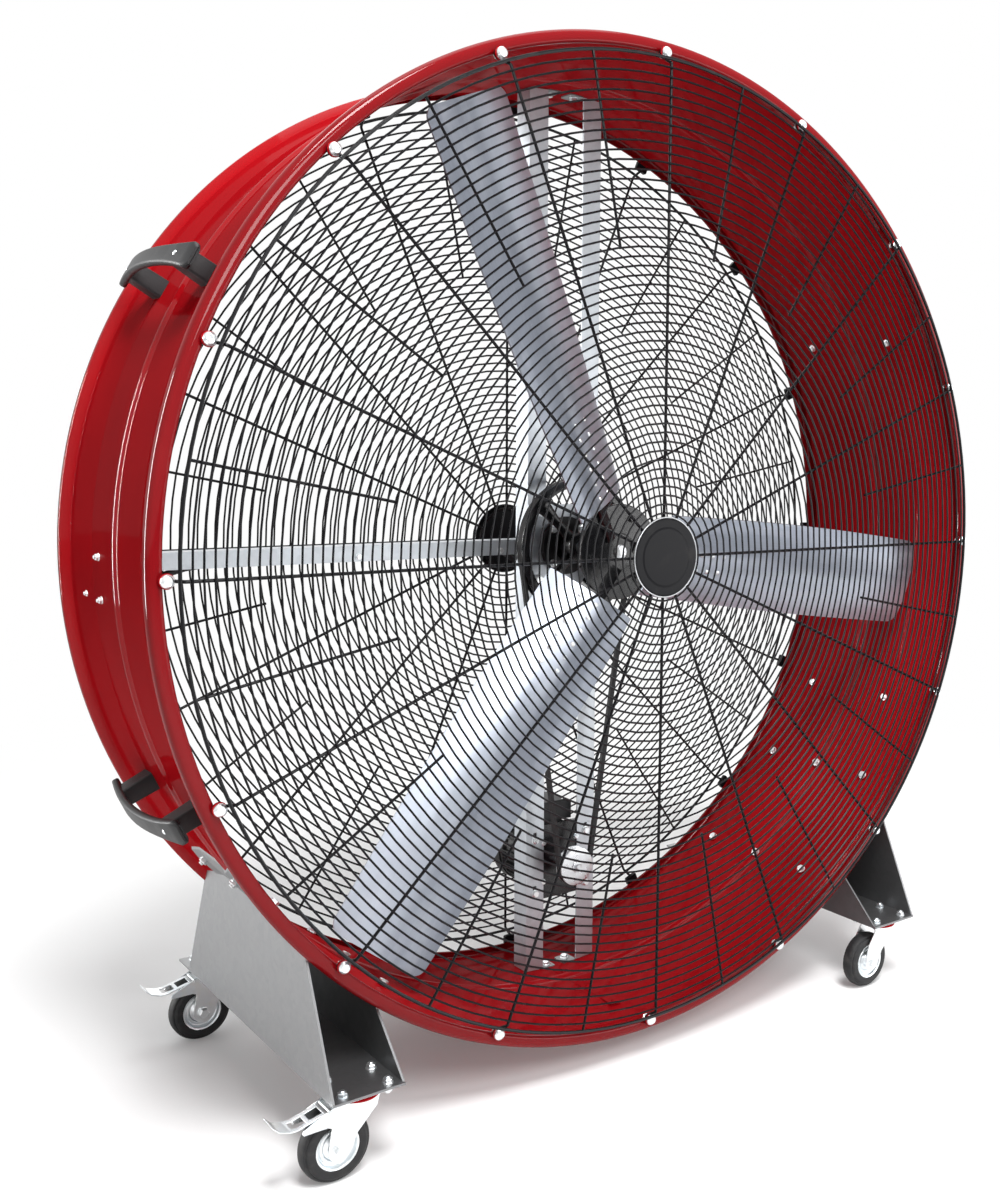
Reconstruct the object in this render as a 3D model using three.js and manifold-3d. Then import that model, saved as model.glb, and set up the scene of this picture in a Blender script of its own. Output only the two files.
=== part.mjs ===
// Drum fan on four castors: a sheet-metal drum with wire guards, three pressed blades on a
// belt-driven shaft, two folded feet and four swivel castors, two of them with a foot brake.
// Units are millimetres. +Z is up, +Y runs from the front guard to the rear guard, and the
// origin lies on the floor below the middle of the feet, which reach out behind the drum.
import * as THREE from 'three';
import { mergeVertices } from 'three/addons/utils/BufferGeometryUtils.js';
import Module from 'manifold-3d';

const wasm = await Module();
wasm.setup();

// ---------------------------------------------------------------- driving dimensions
const FIT_GAP = 0.3; // between pieces that touch
const RUN_GAP = 0.6; // between pieces that turn past each other
const CUT_PAST = 1; // how far a cutting tool runs past what it cuts

// Drum
const DRUM_OUTER_RADIUS = 940;
const DRUM_DEPTH = 500;
const DRUM_RIM_STEP = 28; // rims stand out from the wall by this
const DRUM_SHEET = 3;
const DRUM_SEGMENTS = 48;
const DRUM_LIP_WIDTH = 24;
const DRUM_RIM_DEPTH = 22;
const DRUM_RIM_ROLL = 10; // rim's outer edge is rolled off by this
const DRUM_RIM_SLOPE = 12; // depth over which the sheet rises to the rim
const DRUM_FLARE_RISE = 12;
const DRUM_FLARE_START = 128;
const DRUM_RIDGE_RISE = 5;
const DRUM_RIDGE_WIDTH = 28;

// Wire guards
const GUARD_SPOKES = 16;
const GUARD_INSET = 40; // outer ring inside the rim's edge
const GUARD_STAND_OFF = 24; // guard plane in front of the rim face
const GUARD_WIRE = 4;
const GUARD_SPOKE = 6; // width and thickness of a spoke
const GUARD_RING_COUNT = 4;
const GUARD_HUB_RADIUS = 66;
const GUARD_HUB_BAND = 18;
const GUARD_FOOT_INSET = 23; // where a spoke's bent end lands on the rim
const GUARD_FOOT_LENGTH = 9;
const SHORT_SPOKE_LENGTH = 336;
const CENTRE_PLATE_RADIUS = 76;
const CENTRE_PLATE_THICKNESS = 4;
const CENTRE_PLATE_EDGE = 3;

// Struts, folded from angle
const STRUT_SPACING = 174; // over the two webs
const STRUT_FLANGE = 44;
const STRUT_WEB = 45;
const STRUT_SHEET = 3;
const STRUT_FRONT_Y = 56;
const SIDE_STRUT_HEIGHT = 30;
const SIDE_STRUT_DEPTH = 38;
const SLOT_LENGTH = 22;
const SLOT_WIDTH = 9;

// Shaft, bearings and hub
const SHAFT_RADIUS = 15;
const SHAFT_SEGMENTS = 12;
const DISC_SEGMENTS = 24;
const RACE_SEGMENTS = 16;
const PIN_SEGMENTS = 8;
const HUB_PLANE_Y = -127; // middle of the blades
const HUB_FRONT_Y = -140;
const HUB_BOSS_RADIUS = 46;
const HUB_BOSS_LENGTH = 46;
const HUB_DISC_RADIUS = 94;
const HUB_DISC_THICKNESS = 5;
const ARM_END_RADIUS = 290;
const ARM_WIDTH = 56;
const ARM_THICKNESS = 5;
const ARM_CHORD_STEPS = 2;
const BEARING_RADIUS = 31;
const BEARING_WIDTH = 16;
const BEARING_INSET = 2; // bearings inside the housing's ends
const HOUSING_RADIUS = 38;
const HOUSING_LENGTH = 104;
const HOUSING_FLANGE_RADIUS = 60;
const HOUSING_FLANGE_THICKNESS = 10;
const BEARING_PLATE_HEIGHT = 170;
const BEARING_PLATE_THICKNESS = 5;

// Blades
const BLADE_COUNT = 3;
const BLADE_FIRST_ANGLE = -7;
const BLADE_ROOT_RADIUS = 100;
const BLADE_TIP_GAP = 35; // to the drum's wall
const BLADE_ROOT_CHORD = 186;
const BLADE_TIP_CHORD = 200;
const BLADE_BELLY = 14; // extra chord half way out
const BLADE_ROOT_PITCH = 27;
const BLADE_TIP_PITCH = 10.5;
const BLADE_CAMBER = 15;
const BLADE_SHEET = 3;
const BLADE_STATIONS = 8;
const BLADE_CHORD_STEPS = 5;
const BLADE_CORNER = 26;
const BLADE_CORNER_STEPS = 3;

// Belt drive
const DRIVEN_PULLEY_RADIUS = 141;
const DRIVE_PULLEY_RADIUS = 40;
const PULLEY_Y = 4;
const MOTOR_ABOVE_WALL = 239; // motor's axis above the drum's wall
const PULLEY_WIDTH = 20;
const PULLEY_RIM = 20;
const PULLEY_SPOKES = 4;
const PULLEY_SPOKE_WIDTH = 26;
const PULLEY_SPOKE_THICKNESS = 8;
const PULLEY_HUB_RADIUS = 30;
const PULLEY_HUB_LENGTH = 34;
const PULLEY_SPOKE_TAPER = 0.7; // a spoke's width at the rim, as a share of its width
const PULLEY_SPOKE_SINK = 2; // how far a spoke runs into the rim
const PULLEY_SPOKE_ANGLE = 45;
const BELT_TOP_WIDTH = 13;
const BELT_THICKNESS = 8;
const BELT_TAPER = 2.6; // how much narrower each side gets towards the inside

// Motor
const MOTOR_RADIUS = 79;
const MOTOR_FIN_DEPTH = 7;
const MOTOR_FINS = 14;
const MOTOR_FIN_SHARE = 0.26; // a fin's tip, as a share of the step between two fins
const MOTOR_LENGTH = 108;
const MOTOR_COVER_LENGTH = 40;
const MOTOR_COVER_SHEET = 3;
const MOTOR_COVER_BEVEL = 6;
const MOTOR_PLATE_HEIGHT = 160;
const MOTOR_PLATE_THICKNESS = 8;
const MOTOR_SHAFT_RADIUS = 12;
const MOTOR_SHAFT_PROUD = 2; // in front of its pulley
const TERMINAL_BOX_WIDTH = 84;
const TERMINAL_BOX_HEIGHT = 40;
const TERMINAL_BOX_LENGTH = 88;
const TERMINAL_BOX_BEVEL = 6;

// Switch box and cable
const SWITCH_BOX_LENGTH = 120;
const SWITCH_BOX_HEIGHT = 92;
const SWITCH_BOX_DEPTH = 50;
const SWITCH_BOX_Y = 165;
const SWITCH_BOX_BELOW = 96;
const GLAND_RADIUS = 11;
const GLAND_LENGTH = 18;
const CABLE_RADIUS = 6;
const CABLE_SIDES = 6;
const CABLE_STEPS = 42;

// Feet
const FOOT_INSET = 239; // outer plate inside the drum's widest point
const FOOT_WIDTH = 128;
const FOOT_LENGTH = 662;
const FOOT_TOP_LENGTH = 466;
const FOOT_TAIL = 58; // floor that runs out behind the upright plates
const FOOT_SHEET = 4;
const FOOT_FLANGE_WIDTH = 44;
const FOOT_INNER_FLANGE_WIDTH = 92;
const FOOT_FLANGE_GAP = 66; // flanges end this far from the plates' top corners
const FOOT_RISE = 101; // foot's floor above the drum's lowest point

// Handles
const HANDLE_UPPER_ANGLE = 30; // above the level of the fan's axis
const HANDLE_LOWER_ANGLE = 25; // below it
const HANDLE_LENGTH = 324;
const HANDLE_HOLE_SPACING = 236;
const HANDLE_WIDTH = 32;
const HANDLE_FLARE = 0.5; // extra width at the ends, as a share of the width
const HANDLE_THICKNESS = 13;
const HANDLE_END_HEIGHT = 40;
const HANDLE_BOW = 22;
const HANDLE_FOOT = 38;
const HANDLE_STEPS = 10;

// Castors
const CASTOR_HEIGHT = 148;
const CASTOR_PLATE_LENGTH = 105;
const CASTOR_PLATE_WIDTH = 85;
const CASTOR_PLATE_THICKNESS = 3.5;
const CASTOR_END_INSET = 48; // castor centre from the end of the foot's floor
const CASTOR_RACE_RADIUS = 34;
const CASTOR_RACE_HEIGHT = 10;
const CASTOR_TRAIL = 42;
const WHEEL_RADIUS = 60;
const WHEEL_WIDTH = 34;
const WHEEL_SHOULDER = 6;
const WHEEL_SEGMENTS = 16;
const RIM_SEGMENTS = 12;
const WHEEL_RIM_RADIUS = 38;
const WHEEL_RIM_INSET = 2; // rim's edges inside the tyre's sides
const WHEEL_RIM_SLOPE = 5;
const WHEEL_HUB_RADIUS = 14;
const WHEEL_HUB_PROUD = 1.5; // hub tube past the tyre's sides
const WHEEL_DISC_THICKNESS = 4;
const AXLE_RADIUS = 6;
const AXLE_HEAD_RADIUS = 10;
const AXLE_HEAD_LENGTH = 5;
const FORK_SHEET = 2.5;
const FORK_SIDE_GAP = 3.5; // between wheel and fork leg
const FORK_BOTTOM_RADIUS = 20;
const FORK_LEG_INSET = 4; // top of a leg inside the race's edge
const FORK_WAIST_X = 54; // back edge of a leg below the wing, from the swivel axis
const FORK_WING_X = 104; // end of the wing that carries the pedal
const FORK_WING_BOTTOM = 103;
const FORK_WING_TOP = 112;
const PEDAL_TIP_REACH = 152; // from the swivel axis
const PEDAL_SHEET = 2.5;
const PEDAL_PIVOT_X = 56;
const PEDAL_PIVOT_Z = 127;
const PEDAL_NOSE = 8; // tread in front of the pin
const PEDAL_NOSE_RISE = 4;
const PEDAL_BEND_X = 54; // the tread's lowest stretch starts here, behind the pin
const PEDAL_BEND_LENGTH = 12;
const PEDAL_DROP = 12; // lowest stretch of the tread under the pin
const PEDAL_TOE_LENGTH = 9;
const PEDAL_TOE_RISE = 8; // how far the toe's edge stands above its start
const PEDAL_LUG = 6; // half the width of the ears round the pin
const PEDAL_PIN_RADIUS = 3.5;

// ---------------------------------------------------------------- derived places
const DRUM_HALF = DRUM_DEPTH / 2;
const DRUM_SLOPE_Y = DRUM_HALF - DRUM_RIM_DEPTH - DRUM_RIM_SLOPE;
const DRUM_WALL_RADIUS = DRUM_OUTER_RADIUS - DRUM_RIM_STEP;
const DRUM_INNER_RADIUS = DRUM_WALL_RADIUS - DRUM_SHEET;
const DRUM_LIP_RADIUS = DRUM_OUTER_RADIUS - DRUM_LIP_WIDTH;
const AXIS_ABOVE_FOOT = DRUM_OUTER_RADIUS - FOOT_RISE;
const AXIS_HEIGHT = CASTOR_HEIGHT + AXIS_ABOVE_FOOT;
const BLADE_TIP_RADIUS = DRUM_INNER_RADIUS - BLADE_TIP_GAP;
const PULLEY_SPACING = DRUM_WALL_RADIUS - MOTOR_ABOVE_WALL;
const STRUT_X = STRUT_SPACING / 2;
const GUARD_Y = DRUM_HALF + GUARD_STAND_OFF;
const GUARD_RADIUS = DRUM_OUTER_RADIUS - GUARD_INSET;
const GUARD_FOOT_RADIUS = DRUM_OUTER_RADIUS - GUARD_FOOT_INSET;
const GUARD_PITCH = (GUARD_RADIUS - GUARD_HUB_RADIUS) / GUARD_RING_COUNT;
const FOOT_OUTER_X = DRUM_OUTER_RADIUS - FOOT_INSET;
const FOOT_INNER_X = FOOT_OUTER_X - FOOT_WIDTH;
const DRUM_MIDDLE_Y = -FOOT_TAIL / 2;
const CASTOR_X = (FOOT_OUTER_X + FOOT_INNER_X) / 2;
const FRONT_CASTOR_Y = CASTOR_END_INSET - FOOT_LENGTH / 2;
const REAR_CASTOR_Y = FOOT_LENGTH / 2 + FOOT_TAIL - CASTOR_END_INSET;
const BLADE_FACET_SAG = BLADE_CAMBER / BLADE_CHORD_STEPS ** 2; // facet inside the true curve
const DEGREE = Math.PI / 180;

// ---------------------------------------------------------------- finishes
const RED_PAINT = { color: 0xa8151c, roughness: 0.25, metalness: 0.0 };
const BLACK_WIRE = { color: 0x141414, roughness: 0.45, metalness: 0.1 };
const GALVANISED = { color: 0xa9adb0, roughness: 0.45, metalness: 0.85 };
const BLADE_METAL = { color: 0x8f979f, roughness: 0.38, metalness: 0.85 };
const BLACK_PAINT = { color: 0x191a1b, roughness: 0.5, metalness: 0.2 };
const STEEL = { color: 0xb8bcc0, roughness: 0.3, metalness: 0.95 };
const ZINC = { color: 0xd8dcdc, roughness: 0.35, metalness: 0.9 };
const RUBBER = { color: 0x1c1c1d, roughness: 0.8, metalness: 0.0 };
const BLACK_PLASTIC = { color: 0x2b2c2c, roughness: 0.55, metalness: 0.0 };

// ---------------------------------------------------------------- solids
function signedVolume(geometry) {
  const position = geometry.getAttribute('position');
  const index = geometry.getIndex().array;
  const a = new THREE.Vector3();
  const b = new THREE.Vector3();
  const c = new THREE.Vector3();
  let volume = 0;
  for (let i = 0; i < index.length; i += 3) {
    a.fromBufferAttribute(position, index[i]);
    b.fromBufferAttribute(position, index[i + 1]);
    c.fromBufferAttribute(position, index[i + 2]);
    volume += a.dot(b.cross(c)) / 6;
  }
  return volume;
}

// Welds a geometry's vertices and turns it into a solid whose faces point out.
function toSolid(geometry) {
  const bare = geometry.clone();
  bare.deleteAttribute('normal');
  bare.deleteAttribute('uv');
  const welded = mergeVertices(bare, 1e-4);
  const triangles = Uint32Array.from(welded.getIndex().array);
  if (signedVolume(welded) < 0) {
    for (let i = 0; i < triangles.length; i += 3) {
      [triangles[i], triangles[i + 1]] = [triangles[i + 1], triangles[i]];
    }
  }
  const kept = [];
  for (let i = 0; i < triangles.length; i += 3) {
    const [a, b, c] = triangles.subarray(i, i + 3);
    if (a !== b && b !== c && c !== a) kept.push(a, b, c);
  }
  const vertProperties = Float32Array.from(welded.getAttribute('position').array);
  return new wasm.Manifold(new wasm.Mesh({
    numProp: 3, vertProperties, triVerts: Uint32Array.from(kept),
  }));
}

function toGeometry(solid) {
  const mesh = solid.getMesh();
  const geometry = new THREE.BufferGeometry();
  geometry.setAttribute('position', new THREE.BufferAttribute(mesh.vertProperties, 3));
  geometry.setIndex(new THREE.BufferAttribute(mesh.triVerts, 1));
  geometry.computeVertexNormals();
  return geometry;
}

const unite = (solids) => solids.reduce((whole, solid) => whole.add(solid));
const cut = (body, tools) => tools.reduce((rest, tool) => rest.subtract(tool), body);

function box(x0, x1, y0, y1, z0, z1) {
  const geometry = new THREE.BoxGeometry(x1 - x0, y1 - y0, z1 - z0);
  return toSolid(geometry.translate((x0 + x1) / 2, (y0 + y1) / 2, (z0 + z1) / 2));
}

// Revolves [radius, y] pairs about the Y axis; the profile closes on itself or on the axis.
function revolveY(profile, segments) {
  const onAxis = profile[0][0] === 0;
  const points = profile.map(([r, y]) => new THREE.Vector2(r, y));
  if (!onAxis) points.push(points[0].clone());
  return toSolid(new THREE.LatheGeometry(points, segments));
}

const discY = (radius, y0, y1, segments) => (
  revolveY([[0, y0], [radius, y0], [radius, y1], [0, y1]], segments)
);

const tubeY = (inner, outer, y0, y1, segments) => (
  revolveY([[inner, y0], [outer, y0], [outer, y1], [inner, y1]], segments)
);

// A plate cut to an outline of [x, z] pairs, standing from y0 to y1.
function plateXZ(outline, y0, y1) {
  const shape = new THREE.Shape(outline.map(([x, z]) => new THREE.Vector2(x, z)));
  const geometry = new THREE.ExtrudeGeometry(shape, { depth: y1 - y0, bevelEnabled: false });
  return toSolid(geometry.rotateX(Math.PI / 2).translate(0, y1, 0));
}

// A plate cut to an outline of [y, z] pairs, standing from x0 to x1.
function plateYZ(outline, x0, x1) {
  const shape = new THREE.Shape(outline.map(([y, z]) => new THREE.Vector2(y, z)));
  const geometry = new THREE.ExtrudeGeometry(shape, { depth: x1 - x0, bevelEnabled: false });
  return toSolid(geometry.rotateY(Math.PI / 2).rotateX(Math.PI / 2).translate(x0, 0, 0));
}

// A bar of an [x, y] outline, standing from z0 to z1.
function barXY(outline, z0, z1) {
  const shape = new THREE.Shape(outline.map(([x, y]) => new THREE.Vector2(x, y)));
  const geometry = new THREE.ExtrudeGeometry(shape, { depth: z1 - z0, bevelEnabled: false });
  return toSolid(geometry.translate(0, 0, z0));
}

function movedBy(solid, x, y, z) {
  return solid.translate([x, y, z]);
}

const turnedAboutY = (solid, degrees) => solid.rotate([0, degrees, 0]);

// Joins rings of points into one closed skin; each ring has the same number of points.
function loft(rings) {
  const count = rings[0].length;
  const positions = rings.flat(2);
  const index = [];
  for (let i = 0; i + 1 < rings.length; i += 1) {
    for (let j = 0; j < count; j += 1) {
      const next = (j + 1) % count;
      const [a, b] = [i * count + j, i * count + next];
      const [c, d] = [a + count, b + count];
      index.push(a, b, d, a, d, c);
    }
  }
  const last = (rings.length - 1) * count;
  for (let j = 1; j + 1 < count; j += 1) {
    index.push(0, j + 1, j);
    index.push(last, last + j, last + j + 1);
  }
  const geometry = new THREE.BufferGeometry();
  geometry.setAttribute('position', new THREE.Float32BufferAttribute(positions, 3));
  geometry.setIndex(index);
  return toSolid(geometry);
}

// ---------------------------------------------------------------- drum
// Outside of the sheet from the middle ridge to the front face, as [radius, y] pairs.
function drumOuterHalf(offset) {
  return [
    [DRUM_WALL_RADIUS + offset, DRUM_RIDGE_WIDTH / 2],
    [DRUM_WALL_RADIUS + offset, DRUM_FLARE_START],
    [DRUM_WALL_RADIUS + DRUM_FLARE_RISE + offset, DRUM_SLOPE_Y],
    [DRUM_OUTER_RADIUS + offset, DRUM_HALF - DRUM_RIM_DEPTH],
    [DRUM_OUTER_RADIUS + offset, DRUM_HALF - DRUM_RIM_ROLL],
    [DRUM_OUTER_RADIUS - DRUM_RIM_ROLL + offset, DRUM_HALF + offset],
  ];
}

const mirrored = (half) => half.map(([r, y]) => [r, -y]).reverse();

function drumOutline(offset) {
  const half = drumOuterHalf(offset);
  return [...mirrored(half), [DRUM_WALL_RADIUS + DRUM_RIDGE_RISE + offset, 0], ...half];
}

function drumInnerHalf() {
  return [
    [DRUM_LIP_RADIUS, DRUM_HALF],
    [DRUM_LIP_RADIUS, DRUM_HALF - DRUM_SHEET],
    [DRUM_OUTER_RADIUS - DRUM_RIM_ROLL - DRUM_SHEET, DRUM_HALF - DRUM_SHEET],
    [DRUM_OUTER_RADIUS - DRUM_SHEET, DRUM_HALF - DRUM_RIM_ROLL - DRUM_SHEET],
    [DRUM_OUTER_RADIUS - DRUM_SHEET, DRUM_HALF - DRUM_RIM_DEPTH],
    [DRUM_WALL_RADIUS + DRUM_FLARE_RISE - DRUM_SHEET, DRUM_SLOPE_Y],
    [DRUM_INNER_RADIUS, DRUM_FLARE_START],
  ];
}

// The space inside the drum's outer skin, grown by a gap; cuts whatever fits against it.
function drumEnvelope(offset) {
  const outline = drumOutline(offset);
  const [front, back] = [outline[0][1], outline[outline.length - 1][1]];
  return revolveY([[0, front], ...outline, [0, back]], DRUM_SEGMENTS);
}

function drumShell() {
  const inner = drumInnerHalf();
  return revolveY([...drumOutline(0), ...inner, ...mirrored(inner)], DRUM_SEGMENTS);
}

// Trims a piece to the wall that it stands on inside the drum.
function insideDrum(solid) {
  return solid.intersect(discY(DRUM_INNER_RADIUS - FIT_GAP, -DRUM_HALF, DRUM_HALF, DRUM_SEGMENTS));
}

// ---------------------------------------------------------------- guards
function guardRing(radius, width) {
  const half = GUARD_WIRE / 2;
  const segments = radius < GUARD_RADIUS / 2 ? GUARD_SPOKES : 2 * GUARD_SPOKES;
  return tubeY(radius - width / 2, radius + width / 2, -half, half, segments);
}

// A spoke's side view: straight across the guard, then bent back to a foot on the rim.
function longSpoke() {
  const half = GUARD_SPOKE / 2;
  const foot = GUARD_STAND_OFF - FIT_GAP;
  const footEnd = GUARD_FOOT_RADIUS + GUARD_FOOT_LENGTH;
  const outline = [
    [GUARD_HUB_RADIUS, -half],
    [GUARD_RADIUS + half, -half],
    [GUARD_FOOT_RADIUS + half, foot - GUARD_SPOKE],
    [footEnd, foot - GUARD_SPOKE],
    [footEnd, foot],
    [GUARD_FOOT_RADIUS - half, foot],
    [GUARD_RADIUS - half, half],
    [GUARD_HUB_RADIUS, half],
  ];
  return barXY(outline, -half, half);
}

function shortSpoke() {
  const half = GUARD_SPOKE / 2;
  const start = GUARD_RADIUS - SHORT_SPOKE_LENGTH;
  return box(start, GUARD_RADIUS, -half, half, -half, half);
}

// The front guard lies in the plane y = 0 here, with the drum on its +Y side.
function wireGuard() {
  const rings = [];
  for (let i = 1; i <= GUARD_RING_COUNT; i += 1) {
    rings.push(guardRing(GUARD_HUB_RADIUS + i * GUARD_PITCH, GUARD_WIRE));
  }
  rings.push(guardRing(GUARD_HUB_RADIUS, GUARD_HUB_BAND));
  const spokes = [];
  for (let i = 0; i < GUARD_SPOKES; i += 1) {
    const angle = (i * 360) / GUARD_SPOKES;
    spokes.push(turnedAboutY(longSpoke(), angle));
    spokes.push(turnedAboutY(shortSpoke(), angle + 180 / GUARD_SPOKES));
  }
  return unite([...rings, ...spokes]);
}

// A pressed disc with a turned-back edge, in front of the guard's middle ring.
function centrePlate() {
  const back = -GUARD_SPOKE / 2 - FIT_GAP;
  const front = back - CENTRE_PLATE_THICKNESS;
  return revolveY([
    [0, front],
    [CENTRE_PLATE_RADIUS - CENTRE_PLATE_EDGE, front],
    [CENTRE_PLATE_RADIUS, front + CENTRE_PLATE_EDGE],
    [CENTRE_PLATE_RADIUS, back],
    [0, back],
  ], DISC_SEGMENTS);
}

// ---------------------------------------------------------------- struts
// A slot that takes a bolt along Y through a strut's front flange.
function slotAt(x, z) {
  const width = SLOT_WIDTH / 2;
  const back = STRUT_FRONT_Y + 2 * STRUT_SHEET;
  return box(x - width, x + width, STRUT_FRONT_Y - STRUT_SHEET, back,
    z - SLOT_LENGTH / 2, z + SLOT_LENGTH / 2);
}

// Side is -1 for the left strut and 1 for the right one; the web is on the outside.
function strut(side) {
  const angle = [
    [STRUT_X, STRUT_FRONT_Y],
    [STRUT_X, STRUT_FRONT_Y + STRUT_WEB],
    [STRUT_X - STRUT_SHEET, STRUT_FRONT_Y + STRUT_WEB],
    [STRUT_X - STRUT_SHEET, STRUT_FRONT_Y + STRUT_SHEET],
    [STRUT_X - STRUT_FLANGE, STRUT_FRONT_Y + STRUT_SHEET],
    [STRUT_X - STRUT_FLANGE, STRUT_FRONT_Y],
  ];
  const bar = barXY(angle.map(([x, y]) => [side * x, y]), -DRUM_WALL_RADIUS, DRUM_WALL_RADIUS);
  const slotX = side * (STRUT_X - STRUT_FLANGE / 2);
  const slotZ = MOTOR_PLATE_HEIGHT / 2 - SLOT_LENGTH;
  const slots = [slotZ, -slotZ].map((z) => slotAt(slotX, z - PULLEY_SPACING));
  return cut(insideDrum(bar), slots);
}

// An angle from the left strut's web to the drum's left wall, level with the fan's axis.
function sideStrut() {
  const front = STRUT_FRONT_Y + STRUT_SHEET;
  const top = SIDE_STRUT_HEIGHT / 2;
  const right = -STRUT_X - FIT_GAP;
  const left = -DRUM_WALL_RADIUS;
  const face = box(left, right, front, front + STRUT_SHEET, -top, top);
  const ledge = box(left, right, front, front + SIDE_STRUT_DEPTH, top - STRUT_SHEET, top);
  const end = box(right - STRUT_SHEET, right, front, front + SIDE_STRUT_DEPTH, -top, top);
  return insideDrum(unite([face, ledge, end]));
}

// ---------------------------------------------------------------- shaft, bearings, hub
const HOUSING_FRONT_Y = STRUT_FRONT_Y - BEARING_PLATE_THICKNESS - HOUSING_FLANGE_THICKNESS
  - 2 * FIT_GAP;
const HOUSING_BACK_Y = HOUSING_FRONT_Y + HOUSING_LENGTH;

function bearingPlate() {
  const back = STRUT_FRONT_Y - FIT_GAP;
  const front = back - BEARING_PLATE_THICKNESS;
  const half = BEARING_PLATE_HEIGHT / 2;
  const plate = box(-STRUT_X, STRUT_X, front, back, -half, half);
  return plate.subtract(discY(HOUSING_RADIUS + FIT_GAP, front - CUT_PAST, back + CUT_PAST,
    SHAFT_SEGMENTS));
}

// A flanged cartridge that carries both bearings and passes between the struts.
function bearingHousing() {
  const flangeBack = HOUSING_FRONT_Y + HOUSING_FLANGE_THICKNESS;
  return revolveY([
    [BEARING_RADIUS, HOUSING_FRONT_Y],
    [HOUSING_FLANGE_RADIUS, HOUSING_FRONT_Y],
    [HOUSING_FLANGE_RADIUS, flangeBack],
    [HOUSING_RADIUS, flangeBack],
    [HOUSING_RADIUS, HOUSING_BACK_Y],
    [BEARING_RADIUS, HOUSING_BACK_Y],
  ], SHAFT_SEGMENTS);
}

function bearing(y) {
  const bore = (SHAFT_RADIUS + RUN_GAP) / Math.cos(Math.PI / SHAFT_SEGMENTS);
  return tubeY(bore, BEARING_RADIUS - FIT_GAP, y, y + BEARING_WIDTH, SHAFT_SEGMENTS);
}

function fanShaft() {
  const front = HUB_FRONT_Y - HUB_DISC_THICKNESS;
  return discY(SHAFT_RADIUS, front, HOUSING_BACK_Y + HUB_DISC_THICKNESS, SHAFT_SEGMENTS);
}

// How far out along a blade a radius lies, from 0 at the root to 1 at the tip.
const bladeShare = (radius) => (
  (radius - BLADE_ROOT_RADIUS) / (BLADE_TIP_RADIUS - BLADE_ROOT_RADIUS)
);

// A twisted, cambered strip along +X; the blades and the hub's arms are both cut from it.
// lift is its front face's distance behind the blade's front face, measured square to it.
function twistedStrip({ radii, chordAt, chordSteps, lift, sheet }) {
  const rings = [];
  for (const radius of radii) {
    const share = bladeShare(radius);
    const pitch = (BLADE_ROOT_PITCH + (BLADE_TIP_PITCH - BLADE_ROOT_PITCH) * share) * DEGREE;
    const chord = chordAt(radius);
    const front = [];
    const back = [];
    for (let j = 0; j <= chordSteps; j += 1) {
      const across = chord * (j / chordSteps - 0.5);
      const bend = BLADE_CAMBER * (1 - (2 * across / BLADE_TIP_CHORD) ** 2);
      front.push(stripPoint(radius, across, bend - lift, pitch));
      back.unshift(stripPoint(radius, across, bend - lift - sheet, pitch));
    }
    rings.push([...front, ...back]);
  }
  return loft(rings);
}

// across runs along the chord towards +Z; rise is square to it, towards the front.
function stripPoint(radius, across, rise, pitch) {
  const y = HUB_PLANE_Y - rise * Math.cos(pitch) - across * Math.sin(pitch);
  const z = across * Math.cos(pitch) - rise * Math.sin(pitch);
  return [radius, y, z];
}

function bladeChord(radius) {
  const share = bladeShare(radius);
  const straight = BLADE_ROOT_CHORD + (BLADE_TIP_CHORD - BLADE_ROOT_CHORD) * share;
  return straight + BLADE_BELLY * Math.sin(Math.PI * share);
}

// Even steps out to the rounded tip corners, then a few steps round them.
function bladeRadii() {
  const shoulder = BLADE_TIP_RADIUS - BLADE_CORNER;
  const radii = [];
  for (let i = 0; i <= BLADE_STATIONS; i += 1) {
    radii.push(BLADE_ROOT_RADIUS + ((shoulder - BLADE_ROOT_RADIUS) * i) / BLADE_STATIONS);
  }
  for (let i = 1; i <= BLADE_CORNER_STEPS; i += 1) {
    radii.push(shoulder + BLADE_CORNER * Math.sin((Math.PI / 2 * i) / BLADE_CORNER_STEPS));
  }
  return radii;
}

function blade(angle) {
  const strip = twistedStrip({
    radii: bladeRadii(),
    chordAt: (radius) => {
      const past = Math.max(0, radius - (BLADE_TIP_RADIUS - BLADE_CORNER));
      const round = Math.sqrt(Math.max(0, BLADE_CORNER ** 2 - past ** 2));
      return bladeChord(radius) - 2 * (BLADE_CORNER - round);
    },
    chordSteps: BLADE_CHORD_STEPS,
    lift: 0,
    sheet: BLADE_SHEET,
  });
  return turnedAboutY(strip, -angle);
}

function bladeHub() {
  const front = HUB_FRONT_Y;
  const bore = SHAFT_RADIUS + FIT_GAP;
  const boss = discY(HUB_BOSS_RADIUS, front, front + HUB_BOSS_LENGTH, SHAFT_SEGMENTS);
  const disc = discY(HUB_DISC_RADIUS, front, front + HUB_DISC_THICKNESS, DISC_SEGMENTS);
  const arms = [];
  const radii = [HUB_BOSS_RADIUS / 2, ...bladeRadii().filter((r) => r < ARM_END_RADIUS)];
  for (let i = 0; i < BLADE_COUNT; i += 1) {
    const arm = twistedStrip({
      radii,
      chordAt: () => ARM_WIDTH,
      chordSteps: ARM_CHORD_STEPS,
      lift: BLADE_SHEET + FIT_GAP + BLADE_FACET_SAG,
      sheet: ARM_THICKNESS,
    });
    arms.push(turnedAboutY(arm, -(BLADE_FIRST_ANGLE + (i * 360) / BLADE_COUNT)));
  }
  const solid = unite([boss, disc, ...arms]);
  return solid.subtract(discY(bore, front - CUT_PAST, front + HUB_BOSS_LENGTH + CUT_PAST,
    SHAFT_SEGMENTS));
}

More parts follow.
